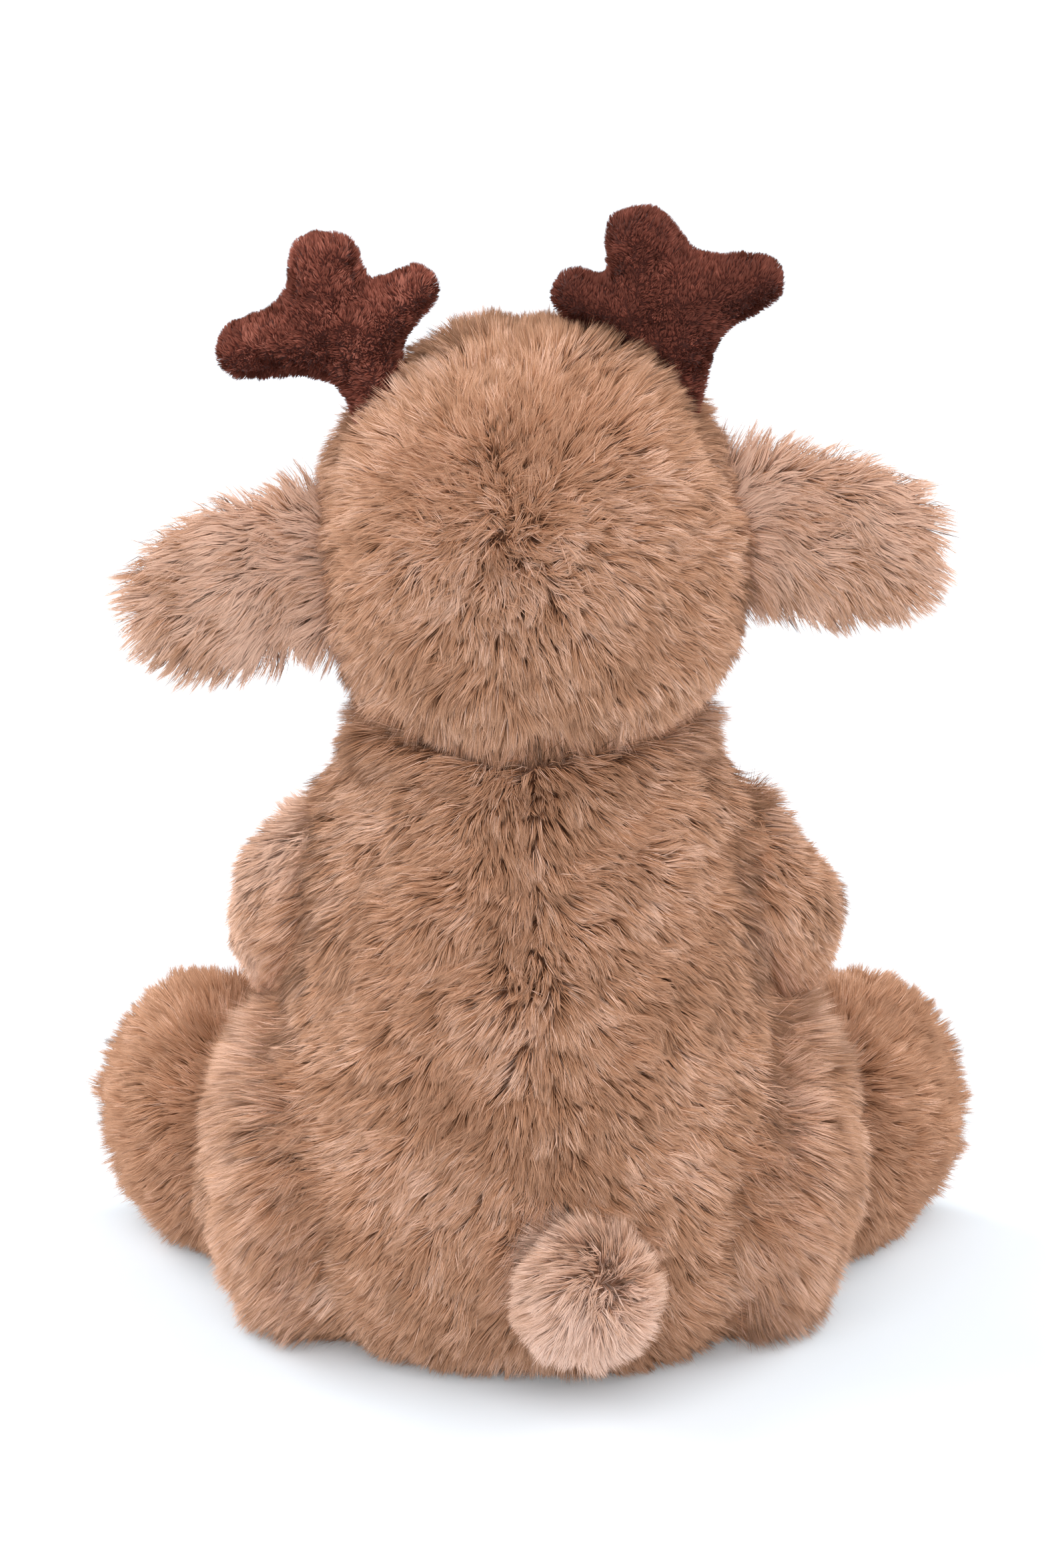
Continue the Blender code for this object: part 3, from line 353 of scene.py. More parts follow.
@dataclass(frozen=True)
class PileFinish:
    """The faux fur's pile, darker at its roots and paler at its tips: part dye, part painted shade and light."""

    name: str
    root: Dye
    body: Dye
    tip: Dye
    pale: Dye
    # How far the lightest strands fade to the pale colour: random pale streaks, and painted light where it is
    # raised.
    paleness: float = 0.7
    spread: float = 0.65
    roughness: float = 0.8
    sheen: float = 0.7

    def material(self) -> bpy.types.Material:
        """The strands' material, coloured by the map laid along each strand."""
        found = bpy.data.materials.get(self.name)
        if found:
            return found
        material, board, shader = blank_material(self.name)
        places = board.feed(board.add("SeparateXYZ"), {0: board.add("UVMap", uv_map=COLOUR_MAP).outputs[0]})
        shade = PILE_SHADE.place(
            board,
            {
                "Shade": places.outputs[0],
                "Height": places.outputs[1],
                "Spread": self.spread,
                "Root colour": self.root.rgba(),
                "Body colour": self.body.rgba(),
                "Tip colour": self.tip.rgba(),
                "Pale colour": self.pale.rgba(),
                "Paleness": self.paleness,
            },
        )
        seen = board.add("NewGeometry").outputs
        facing = board.sum_of("MULTIPLY_ADD", seen["Backfacing"], -2.0, 1.0)
        outward = board.feed(
            board.add("VectorMath", operation="SCALE"), {"Vector": seen["Normal"], "Scale": facing}
        )
        values = {"Base Color": shade.outputs[0], "Roughness": self.roughness, "Sheen Weight": self.sheen}
        values["Normal"] = outward.outputs[0]
        values["Sheen Roughness"] = 0.4
        values["Sheen Tint"] = self.tip.rgba()
        values["Specular IOR Level"] = 0.2
        board.feed(shader, values)
        return material


class Ground(Enum):
    """The kinds of cloth ground that the toy is sewn from."""

    FIBRES = "tangled fibres"
    WEAVE = "plain weave"


@dataclass(frozen=True)
class ClothFinish:
    """A cloth, suede or wadding: two tones over its own ground, with patches of handling."""

    name: str
    low: Dye
    high: Dye
    worn: Dye
    ground: Ground = Ground.FIBRES
    scale: float = 900.0
    relief: float = 0.3 * MM
    sheen: float = 0.3

    def material(self) -> bpy.types.Material:
        """The cloth's material."""
        found = bpy.data.materials.get(self.name)
        if found:
            return found
        material, board, shader = blank_material(self.name)
        position = board.add("TexCoord").outputs["Object"]
        effect = FIBRE_MAT if self.ground is Ground.FIBRES else WEAVE
        ground = effect.place(board, {"Position": position, "Scale": self.scale})
        colour = board.mixed(ground.outputs["Mask"], self.low.rgba(), self.high.rgba())
        worn = HANDLING.place(
            board, {"Colour": colour, "Worn colour": self.worn.rgba(), "Position": position}
        )
        relief = board.add("Bump")
        board.feed(relief, {"Height": ground.outputs["Height"], "Distance": self.relief, "Strength": 0.8})
        rough = board.sum_of("MULTIPLY_ADD", ground.outputs["Mask"], 0.12, 0.8)
        values = {"Base Color": worn.outputs[0], "Roughness": rough, "Normal": relief.outputs[0]}
        values["Sheen Weight"] = self.sheen
        values["Specular IOR Level"] = 0.2
        board.feed(shader, values)
        return material


@dataclass(frozen=True)
class HardFinish:
    """Moulded plastic with a skin of fine scuffs."""

    name: str
    colour: Dye
    scuffed: Dye
    roughness: float = 0.15
    shine: float = 0.5

    def material(self) -> bpy.types.Material:
        """The plastic's material."""
        found = bpy.data.materials.get(self.name)
        if found:
            return found
        material, board, shader = blank_material(self.name)
        position = board.add("TexCoord").outputs["Object"]
        worn = HANDLING.place(
            board,
            {
                "Colour": self.colour.rgba(),
                "Worn colour": self.scuffed.rgba(),
                "Position": position,
                "Scale": 500.0,
                "Amount": 0.5,
            },
        )
        grain = FIBRE_MAT.place(board, {"Position": position, "Scale": 1500.0})
        relief = board.add("Bump")
        board.feed(relief, {"Height": grain.outputs["Height"], "Distance": 0.01 * MM, "Strength": 0.3})
        rough = board.sum_of("MULTIPLY_ADD", worn.outputs["Mask"], 0.3, self.roughness)
        values = {"Base Color": worn.outputs[0], "Roughness": rough, "Normal": relief.outputs[0]}
        values["Specular IOR Level"] = self.shine
        board.feed(shader, values)
        return material


# Root, body, tip and pale colours: the dark roots and pale tips are partly dye, partly painted shade and painted
# light.
TAN_PILE = PileFinish(
    "tan pile", Dye(144, 96, 68), Dye(204, 146, 109), Dye(222, 169, 135), Dye(240, 203, 182)
)
LIGHT_PILE = PileFinish(
    "light pile", Dye(164, 117, 90), Dye(218, 166, 135), Dye(232, 188, 162), Dye(244, 212, 196)
)
ANTLER_NAP = PileFinish(
    "antler nap", Dye(110, 53, 41), Dye(142, 74, 58), Dye(162, 94, 77), Dye(186, 122, 104), 0.5, 0.9,
    sheen=0.35
)
TAN_GROUND = ClothFinish("tan undercoat", Dye(150, 104, 77), Dye(178, 128, 98), Dye(162, 118, 92))
LIGHT_GROUND = ClothFinish("light undercoat", Dye(160, 114, 88), Dye(188, 140, 112), Dye(170, 126, 102))
ANTLER_GROUND = ClothFinish("antler velour", Dye(84, 40, 32), Dye(110, 58, 47), Dye(92, 50, 42))
SOLE_SUEDE = ClothFinish("sole suede", Dye(176, 138, 112), Dye(196, 160, 134), Dye(150, 114, 90), scale=700.0)
SEAT_WEAVE = ClothFinish(
    "seat cloth", Dye(118, 84, 64), Dye(150, 112, 90), Dye(104, 76, 60), Ground.WEAVE, scale=330.0
)
WADDING = ClothFinish(
    "white wadding", Dye(214, 210, 202), Dye(238, 236, 230), Dye(200, 194, 184), scale=300.0
)
EYE_PLASTIC = HardFinish("eye plastic", Dye(14, 8, 6), Dye(26, 18, 15), roughness=0.12, shine=0.25)
NOSE_PLASTIC = HardFinish("nose plastic", Dye(58, 33, 25), Dye(78, 50, 40), roughness=0.35, shine=0.3)
WASHER_PLASTIC = HardFinish("washer plastic", Dye(206, 204, 198), Dye(180, 178, 172), roughness=0.4)


def points_of(mesh: bpy.types.Mesh) -> Rows:
    """The mesh's vertices, one a row."""
    flat = np.empty(len(mesh.vertices) * 3)
    mesh.vertices.foreach_get("co", flat)
    return flat.reshape(-1, 3)


def normals_of(mesh: bpy.types.Mesh) -> Rows:
    """The mesh's vertex normals, one a row."""
    flat = np.empty(len(mesh.vertices) * 3)
    mesh.vertices.foreach_get("normal", flat)
    return flat.reshape(-1, 3)


def move_points(mesh: bpy.types.Mesh, points: Rows) -> None:
    """Puts the mesh's vertices at new places."""
    mesh.vertices.foreach_set("co", points.ravel())
    mesh.update()


def new_piece(name: str, mesh: bpy.types.Mesh) -> bpy.types.Object:
    """A piece with that mesh, in the scene."""
    piece = bpy.data.objects.new(name, mesh)
    bpy.context.scene.collection.objects.link(piece)
    return piece


def settle(piece: bpy.types.Object) -> None:
    """Applies the piece's modifiers to its mesh."""
    graph = bpy.context.evaluated_depsgraph_get()
    settled = bpy.data.meshes.new_from_object(piece.evaluated_get(graph))
    old = piece.data
    piece.modifiers.clear()
    piece.data = settled
    bpy.data.meshes.remove(old)
    settled.name = piece.name


def keep_outer_shell(mesh: bpy.types.Mesh) -> None:
    """Deletes every closed shell but the longest, such as a hollow left inside."""
    shape = bmesh.new()
    shape.from_mesh(mesh)
    left = set(shape.verts)
    shells = []
    while left:
        reached = [left.pop()]
        shell = list(reached)
        while reached:
            vert = reached.pop()
            near = {edge.other_vert(vert) for edge in vert.link_edges}
            fresh = near & left
            left.difference_update(fresh)
            reached.extend(fresh)
            shell.extend(fresh)
        shells.append(shell)
    shells.sort(key=len)
    for shell in shells[:-1]:
        bmesh.ops.delete(shape, geom=shell, context="VERTS")
    shape.to_mesh(mesh)
    shape.free()


def relax(mesh: bpy.types.Mesh, times: int) -> None:
    """Evens out the steps that closing the surface leaves."""
    shape = bmesh.new()
    shape.from_mesh(mesh)
    for _ in range(times):
        bmesh.ops.smooth_vert(
            shape, verts=shape.verts, factor=0.5, use_axis_x=True, use_axis_y=True, use_axis_z=True
        )
    shape.to_mesh(mesh)
    shape.free()


@dataclass
class SewnForm:
    """A stuffed form of the toy: its skin and stuffing in the frame, closed into one padded surface."""

    name: str
    body: str
    nodes: tuple[str, ...]
    slot: Slot
    finish: ClothFinish
    voxel: float = 3 * MM
    smoothing: int = 3
    slack: float = 1.2 * MM
    fill: float = 0.7
    lumps: float = 1.1 * MM
    lump_length: float = 26 * MM
    seed: int = 1
    piece: bpy.types.Object = field(init=False)
    tree: BVHTree = field(init=False)

    def cut_blank(self) -> None:
        """Closes the frame's pieces into one surface, a little smaller than the stuffed form."""
        joined = bmesh.new()
        for node in self.nodes:
            joined.from_mesh(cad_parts[node].data)
        mesh = bpy.data.meshes.new(self.name)
        joined.to_mesh(mesh)
        joined.free()
        self.piece = new_piece(self.name, mesh)
        close = self.piece.modifiers.new("Close", "REMESH")
        close.mode = "VOXEL"
        close.voxel_size = self.voxel
        settle(self.piece)
        keep_outer_shell(self.piece.data)
        relax(self.piece.data, self.smoothing)
        mesh = self.piece.data
        move_points(mesh, points_of(mesh) - normals_of(mesh) * self.slack)

    def close_up(self, seam: Callable[[Rows], Rows] | None = None, depth: float = 1.2 * MM) -> None:
        """Gives the padded surface its lumps and seam, and makes it ready for its pile.

        Args:
            seam: The distance of each point from the seam's line, where the form has one.
            depth: How deep the seam draws the surface in.
        """
        self.piece.modifiers.new("Finer", "SUBSURF").levels = 1
        settle(self.piece)
        mesh = self.piece.data
        points = points_of(mesh)
        rise = Ripple(self.seed, self.lump_length).at(points) * self.lumps
        if seam is not None:
            rise -= depth * np.exp(-((seam(points) / (2.2 * MM)) ** 2))
        points += normals_of(mesh) * rise[:, None]
        points[:, 2] = np.maximum(points[:, 2], FLOOR_CLEARANCE)
        move_points(mesh, points)
        mesh.shade_smooth()
        mesh.materials.clear()
        mesh.materials.append(self.finish.material())
        self.find_surface()
        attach(self.piece, self.body)
        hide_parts(*self.nodes)

    def swell_towards(self, other: "SewnForm", rise: float, reach: float) -> None:
        """Swells the form where it comes near another, so that the two meet in a shallow crease.

        Args:
            other: The neighbouring form, measured before either is swollen.
            rise: How far the surface rises where the two touch.
            reach: How near the other form has to be.
        """
        mesh = self.piece.data
        points = points_of(mesh)
        found = [other.tree.find_nearest(Vector(point), reach)[3] for point in points]
        gaps = np.array([reach if gap is None else gap for gap in found])
        move_points(mesh, points + normals_of(mesh) * (rise * (1 - gaps / reach) ** 2)[:, None])

    def find_surface(self) -> None:
        """Measures the form's surface for the pieces beside it."""
        self.tree = BVHTree.FromObject(self.piece, bpy.context.evaluated_depsgraph_get())

    def box(self) -> tuple[Rows, Rows]:
        """The form's lowest and highest corners."""
        points = points_of(self.piece.data)
        return points.min(axis=0), points.max(axis=0)


@dataclass(frozen=True)
class PaddingBench:
    """Swells the blanks under pressure, as stuffing them does."""

    pressure: float = 4.0
    steps: int = 20
    reach: float = 1.3 * MM

    def swell(self, forms: list[SewnForm]) -> None:
        """Runs all the blanks as pressurised cloth at once.

        Args:
            forms: The forms whose blanks are cut.
        """
        for form in forms:
            cloth = form.piece.modifiers.new("Cloth", "CLOTH").settings
            cloth.quality = 5
            cloth.mass = 0.1
            cloth.tension_stiffness = 12
            cloth.compression_stiffness = 12
            cloth.use_pressure = True
            cloth.uniform_pressure_force = self.pressure
            cloth.effector_weights.gravity = 0
        scene = bpy.context.scene
        for step in range(1, self.steps + 1):
            scene.frame_set(step)
        graph = bpy.context.evaluated_depsgraph_get()
        for form in forms:
            start = points_of(form.piece.data)
            moved = points_of(form.piece.evaluated_get(graph).data) - start
            far = np.maximum(np.linalg.norm(moved, axis=1, keepdims=True), 1e-9)
            form.piece.modifiers.clear()
            move_points(form.piece.data, start + moved * np.minimum(1, self.reach / far))
        scene.frame_set(1)


@dataclass(frozen=True)
class Pile:
    """How one coat of pile stands: lengths in metres, leans in degrees from upright."""

    length: float = 8.2 * MM
    width: float = 0.165 * MM
    per_square_mm: float = 10.5
    root_lean: float = 16.0
    tip_lean: float = 66.0
    tuft_pitch: float = 3.6 * MM
    tuft_pull: float = 0.24
    lock_pitch: float = 0.95 * MM
    lock_pull: float = 0.5
    lock_swing: float = 17.0
    lock_shade: float = 0.1
    strand_shade: float = 0.2
    swing: float = 24.0
    swing_length: float = 12 * MM
    droop: float = 0.1
    stray_share: float = 0.08
    smoothness: float = 0.65
    skyward: float = 0.25
    crowd_reach: float = 12 * MM
    crowd_comb: float = 0.5
    crowd_push: float = 0.9
    crowd_growth: float = 0.8
    # Painted light in the creases beside other forms, offsetting their shade; a negative value paints shade there
    # instead.
    crowd_painted_shading: float = 0.2


PATH_SHARES = (0.0, 0.5, 1.0)
WIDTH_SHARES = (0.85, 1.0)
STRAND_CORNERS = (0, 1, 3, 2, 2, 3, 4)
STRAND_FACE_STARTS = (0, 4)
STRAND_POINTS = 5
SHADE_EDGE = 0.004
PIECE_STRANDS = 60000
HIDDEN_ROOM = 0.8 * MM


@dataclass
class Coat:
    """One piece of pile, grown on a form and combed."""

    name: str
    form: SewnForm
    finish: PileFinish
    pile: Pile
    comb: Comb
    seed: int
    neighbours: tuple[SewnForm, ...]
    pick: Pick | None = None
    # Painted light and shade: a lift or drop of the strands' lightness where light or shade falls.
    painted_shading: Pick | None = None
    tousle: Pick | None = None
    trim: Pick | None = None
    slot: Slot = Slot.TAN

    def grow(self) -> None:
        """Grows the coat in pieces of a handy size and sets them on its form's body."""
        rng = np.random.default_rng(self.seed)
        roots, normals = self.sow(rng)
        if self.pick is not None:
            chosen = self.pick(roots, normals)
            roots, normals = roots[chosen], normals[chosen]
        room, crowding = self.room_above(roots, normals)
        free = room > HIDDEN_ROOM
        roots, normals, room, crowding = roots[free], normals[free], room[free], crowding[free]
        paths, shades = self.lay(roots, normals, room, crowding, rng)
        count = math.ceil(len(roots) / PIECE_STRANDS)
        order = np.argsort(roots[:, 0], kind="stable")
        for index, share in enumerate(np.array_split(order, count), start=1):
            name = self.name if count == 1 else f"{self.name}_{index}"
            piece = new_piece(name, self.ribbons(name, paths[share], normals[share], shades[share], rng))
            piece.data.materials.append(self.finish.material())
            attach(piece, self.form.body)
        log.info("%s: %d strands in %d pieces", self.name, len(roots), count)

    def sow(self, rng: np.random.Generator) -> tuple[Rows, Rows]:
        """Scatters the roots evenly over the form's surface.

        Args:
            rng: The coat's own seeded source of chance.

        Returns:
            The roots and the surface's normals there.
        """
        mesh = self.form.piece.data
        mesh.calc_loop_triangles()
        corners = np.empty(len(mesh.loop_triangles) * 3, dtype=np.int32)
        mesh.loop_triangles.foreach_get("vertices", corners)
        corners = corners.reshape(-1, 3)
        points = points_of(mesh)[corners]
        bends = normals_of(mesh)[corners]
        sizes = np.linalg.norm(np.cross(points[:, 1] - points[:, 0], points[:, 2] - points[:, 0]), axis=1) / 2
        count = int(sizes.sum() / MM**2 * self.pile.per_square_mm)
        chosen = np.searchsorted(np.cumsum(sizes) / sizes.sum(), rng.random(count)).clip(0, len(sizes) - 1)
        shares = rng.random((count, 2))
        shares = np.where(shares.sum(axis=1, keepdims=True) > 1, 1 - shares, shares)
        weights = np.column_stack((1 - shares.sum(axis=1), shares))[:, :, None]
        return (points[chosen] * weights).sum(axis=1), unit((bends[chosen] * weights).sum(axis=1))

    def room_above(self, roots: Rows, normals: Rows) -> tuple[Rows, Rows]:
        """How far the pile may rise before it meets a neighbouring form, and which way that form pushes it.

        Args:
            roots: The strands' roots.
            normals: The surface's normals there.

        Returns:
            The room above each root in metres, 0 inside a neighbour, and the push out of the creases.
        """
        room = np.full(len(roots), 1.0)
        crowding = np.zeros_like(roots)
        for other in self.neighbours:
            if other is self.form:
                continue
            low, high = other.box()
            margin = self.pile.crowd_reach
            close = np.all((roots > low - margin) & (roots < high + margin), axis=1)
            for index in np.flatnonzero(close):
                root = Vector(roots[index])
                way = Vector(normals[index])
                place, bend, _, distance = other.tree.ray_cast(root, way)
                if place is not None:
                    inside = bend.dot(way) > 0
                    room[index] = min(room[index], 0.0 if inside else distance)
                place, bend, _, distance = other.tree.find_nearest(root, margin)
                if place is not None:
                    crowding[index] += np.array((bend + way).normalized()) * (1 - distance / margin)
        return room, crowding

    def lay(
        self, roots: Rows, normals: Rows, room: Rows, crowding: Rows, rng: np.random.Generator
    ) -> tuple[Rows, Rows]:
        """Leans, swings and tufts the strands.

        Args:
            roots: The strands' roots.
            normals: The surface's normals there.
            room: The room above each root.
            crowding: The push of the neighbouring forms.
            rng: The coat's own seeded source of chance.

        Returns:
            The points along each strand, and each strand's lightness from 0 to 1.
        """
        pile = self.pile
        count = len(roots)
        swing = Ripple(self.seed + 1, pile.swing_length).at(roots) * pile.swing
        swing += Ripple(self.seed + 2, pile.swing_length / 3).at(roots) * pile.swing / 2
        swing += rng.normal(size=count) * pile.swing / 4
        locks, in_lock = self.bunch(roots, pile.lock_pitch, rng)
        tousle = pile.lock_swing if self.tousle is None else pile.lock_swing + self.tousle(roots, normals)
        swing += rng.normal(size=len(locks))[in_lock] * tousle
        combed = self.comb(roots, normals) + crowding * pile.crowd_comb
        combed -= normals * np.sum(combed * normals, axis=1, keepdims=True)
        firmness = 0.4 + 0.6 * np.clip(np.linalg.norm(combed, axis=1), 0, 1)
        ways = turned(unit(combed), normals, np.radians(swing))
        stray = rng.random(count) < pile.stray_share
        lift = np.where(stray, 18.0, 0.0) + Ripple(self.seed + 3, pile.swing_length).at(roots) * 6
        lengths = pile.length * (1 + 0.14 * rng.uniform(-1, 1, count))
        lengths *= 1 + 0.1 * Ripple(self.seed + 4, pile.swing_length / 2).at(roots)
        if self.trim is not None:
            lengths *= self.trim(roots, normals)
        crowded = np.linalg.norm(crowding, axis=1)
        lengths *= np.clip(room / (0.5 * pile.length), 0.6, 1.0) * (1 + pile.crowd_growth * crowded)
        path = [roots]
        for start, end in zip(PATH_SHARES, PATH_SHARES[1:]):
            middle = (start + end) / 2
            lean = (pile.root_lean + (pile.tip_lean - pile.root_lean) * middle) * firmness - lift
            lean = np.radians(lean)[:, None]
            step = normals * np.cos(lean) + ways * np.sin(lean) + crowding * pile.crowd_push
            step[:, 2] -= pile.droop * middle
            path.append(path[-1] + unit(step) * (lengths * (end - start))[:, None])
        paths = np.stack(path, axis=1)
        shades = 0.45 + 0.12 * Ripple(self.seed + 5, 34 * MM).at(roots) + 0.07 * Ripple(
            self.seed + 6, 7 * MM
        ).at(roots)
        # Strands crowded by other forms get painted light against the creases' shade, or painted shade where the
        # value is negative.
        shades += pile.strand_shade * rng.normal(size=count) + pile.crowd_painted_shading * crowded
        tufts, in_tuft = self.bunch(roots, pile.tuft_pitch, rng)
        for heads, nearest, pull in ((locks, in_lock, pile.lock_pull), (tufts, in_tuft, pile.tuft_pull)):
            pulls = pull * np.array(PATH_SHARES) ** 2
            pulls = np.where(stray[:, None], 0.0, pulls[None, :])[:, :, None]
            paths = paths * (1 - pulls) + paths[heads][nearest] * pulls
            shades += pile.lock_shade * rng.normal(size=len(heads))[nearest]
        paths[:, 1:, 2] = np.maximum(paths[:, 1:, 2], FLOOR_CLEARANCE)
        # Painted light and shade from the sub-assembly's own map.
        if self.painted_shading is not None:
            shades += self.painted_shading(roots, normals)
        return paths, np.clip(shades, 0.03, 0.97)

    def bunch(self, roots: Rows, pitch: float, rng: np.random.Generator) -> tuple[Rows, Rows]:
        """Chooses the strands that the others gather to.

        Args:
            roots: The strands' roots.
            pitch: About how far apart the chosen strands stand.
            rng: The coat's own seeded source of chance.

        Returns:
            The chosen strands, and for every strand the place of its nearest one among them.
        """
        chosen = len(roots) / self.pile.per_square_mm / (pitch / MM) ** 2
        heads = rng.choice(len(roots), max(1, int(chosen)), replace=False)
        finder = KDTree(len(heads))
        for place, index in enumerate(heads):
            finder.insert(roots[index], place)
        finder.balance()
        return heads, np.array([finder.find(root)[1] for root in roots])

    def ribbons(
        self, name: str, paths: Rows, normals: Rows, shades: Rows, rng: np.random.Generator
    ) -> bpy.types.Mesh:
        """Turns the strands into narrow pointed ribbons with a colour map along them.

        Args:
            name: The mesh's name.
            paths: The points along each strand.
            normals: The surface's normals at the roots.
            shades: Each strand's lightness.
            rng: The coat's own seeded source of chance.

        Returns:
            The mesh of all the strands.
        """
        count = len(paths)
        along = unit(paths[:, -1] - paths[:, 0])
        twist = rng.uniform(-1, 1, count) * math.radians(50)
        across = turned(unit(np.cross(along, normals)), along, twist)
        faces = unit(np.cross(across, along))
        half = across * (self.pile.width * rng.uniform(0.75, 1.2, count) / 2)[:, None]
        points = np.empty((count, STRAND_POINTS, 3))
        for place, share in enumerate(WIDTH_SHARES):
            points[:, place * 2] = paths[:, place] - half * share
            points[:, place * 2 + 1] = paths[:, place] + half * share
        points[:, -1] = paths[:, -1]
        share = self.pile.smoothness
        up = np.array((0.0, 0.0, self.pile.skyward))
        bends = np.repeat(unit(normals * share + faces * (1 - share) + up), STRAND_POINTS, axis=0)
        places = np.empty((count, STRAND_POINTS, 2))
        edge = np.array([-1, 1, -1, 1, 0]) * SHADE_EDGE
        places[:, :, 0] = shades[:, None] + edge[None, :]
        places[:, :, 1] = np.array([0, 0, PATH_SHARES[1], PATH_SHARES[1], 1])[None, :]
        first = np.arange(count, dtype=np.int32)[:, None]
        corners = (first * STRAND_POINTS + np.array(STRAND_CORNERS, dtype=np.int32)[None, :]).ravel()
        starts = (first * len(STRAND_CORNERS) + np.array(STRAND_FACE_STARTS, dtype=np.int32)[None, :]).ravel()
        mesh = bpy.data.meshes.new(name)
        mesh.vertices.add(count * STRAND_POINTS)
        mesh.loops.add(len(corners))
        mesh.polygons.add(len(starts))
        mesh.vertices.foreach_set("co", points.ravel())
        mesh.loops.foreach_set("vertex_index", corners)
        mesh.polygons.foreach_set("loop_start", starts)
        mesh.update(calc_edges=True)
        mesh.uv_layers.new(name=COLOUR_MAP).data.foreach_set("uv", places.reshape(-1, 2)[corners].ravel())
        mesh.attributes.new("custom_normal", "FLOAT_VECTOR", "POINT").data.foreach_set(
            "vector", bends.ravel()
        )
        return mesh


@dataclass
class Torso:
    """The body: a pear of two halves sewn down the back and belly, on a flat seat."""

    seam_top: float = 3.6 * MM
    seam_bottom: float = -3.0 * MM
    seam_top_height: float = 134 * MM
    seam_bottom_height: float = 45 * MM
    pile: Pile = Pile()
    swirl: tuple[float, float, float] = (-30 * MM, 30 * MM, 116 * MM)
    swirl_reach: float = 15 * MM
    seat_edge: float = 4 * MM
    parting_reach: float = 8 * MM
    parting_wander: float = 1.0 * MM
    parting_spread: float = 0.7
    fall: float = -0.8
    swirl_way: tuple[float, float, float] = (-1.0, -0.2, 0.15)
    swirl_strength: float = 0.8
    hip_flare: float = 1.2
    # Painted shade along the seam's parting.
    seam_painted_shade: float = -0.06

    def forms(self) -> list[SewnForm]:
        """The stuffed forms of the body."""
        self.form = SewnForm(
            "body_form",
            "torso",
            ("body_skin_left", "body_skin_right", "body_stuffing", "pellet_bag"),
            Slot.TAN,
            TAN_GROUND,
            fill=0.8,
            seed=11,
        )
        return [self.form]

    def seam_line(self, heights: Rows) -> Rows:
        """How far aside the back seam runs at each height."""
        share = (heights - self.seam_bottom_height) / (self.seam_top_height - self.seam_bottom_height)
        return self.seam_bottom + (self.seam_top - self.seam_bottom) * np.clip(share, -0.3, 1)

    def from_seam(self, points: Rows) -> Rows:
        """How far each point is to the left of the parting, which wanders about the seam."""
        wander = Ripple(105, 24 * MM).at(points) * self.parting_wander
        return points[:, 0] - self.seam_line(points[:, 2]) - wander

    def comb(self, roots: Rows, normals: Rows) -> Rows:
        """Away from the seam, down and out, with a swirl on one shoulder."""
        outward = np.clip(self.from_seam(roots) / self.parting_reach, -1, 1)
        ways = np.column_stack(
            (self.parting_spread * outward, np.zeros(len(roots)), np.full(len(roots), self.fall))
        )
        near = np.exp(-np.sum((roots - np.array(self.swirl)) ** 2, axis=1) / self.swirl_reach**2)[:, None]
        strength = self.swirl_strength
        ways = ways * (1 - strength * near) + np.array(self.swirl_way) * strength * near
        hip = smooth_step(np.abs(roots[:, 0]), 26 * MM, 40 * MM)
        hip = hip * smooth_step(-roots[:, 2], -70 * MM, -50 * MM)
        ways[:, 0] += self.hip_flare * np.sign(roots[:, 0]) * hip
        return ways

    def painted_shading(self, roots: Rows, normals: Rows) -> Rows:
        """Painted shade: darker along the seam's parting."""
        return self.seam_painted_shade * np.exp(-((self.from_seam(roots) / (2.5 * MM)) ** 2))

    def dress(self, others: tuple[SewnForm, ...]) -> None:
        """Closes the form and grows its pile in two pieces, back and front.

        Args:
            others: The other stuffed forms.
        """
        self.form.close_up(self.from_seam)
        for name, way, seed in (("back", 1, 100), ("front", -1, 110)):

            def pick(roots: Rows, normals: Rows, way: int = way) -> Rows:
                """The strands of one side of the toy, off the seat."""
                return (roots[:, 1] * way >= 0) & (roots[:, 2] > self.seat_edge)

            Coat(
                "body_pile_" + name, self.form, TAN_PILE, self.pile, self.comb, seed, others, pick, self.painted_shading
            ).grow()


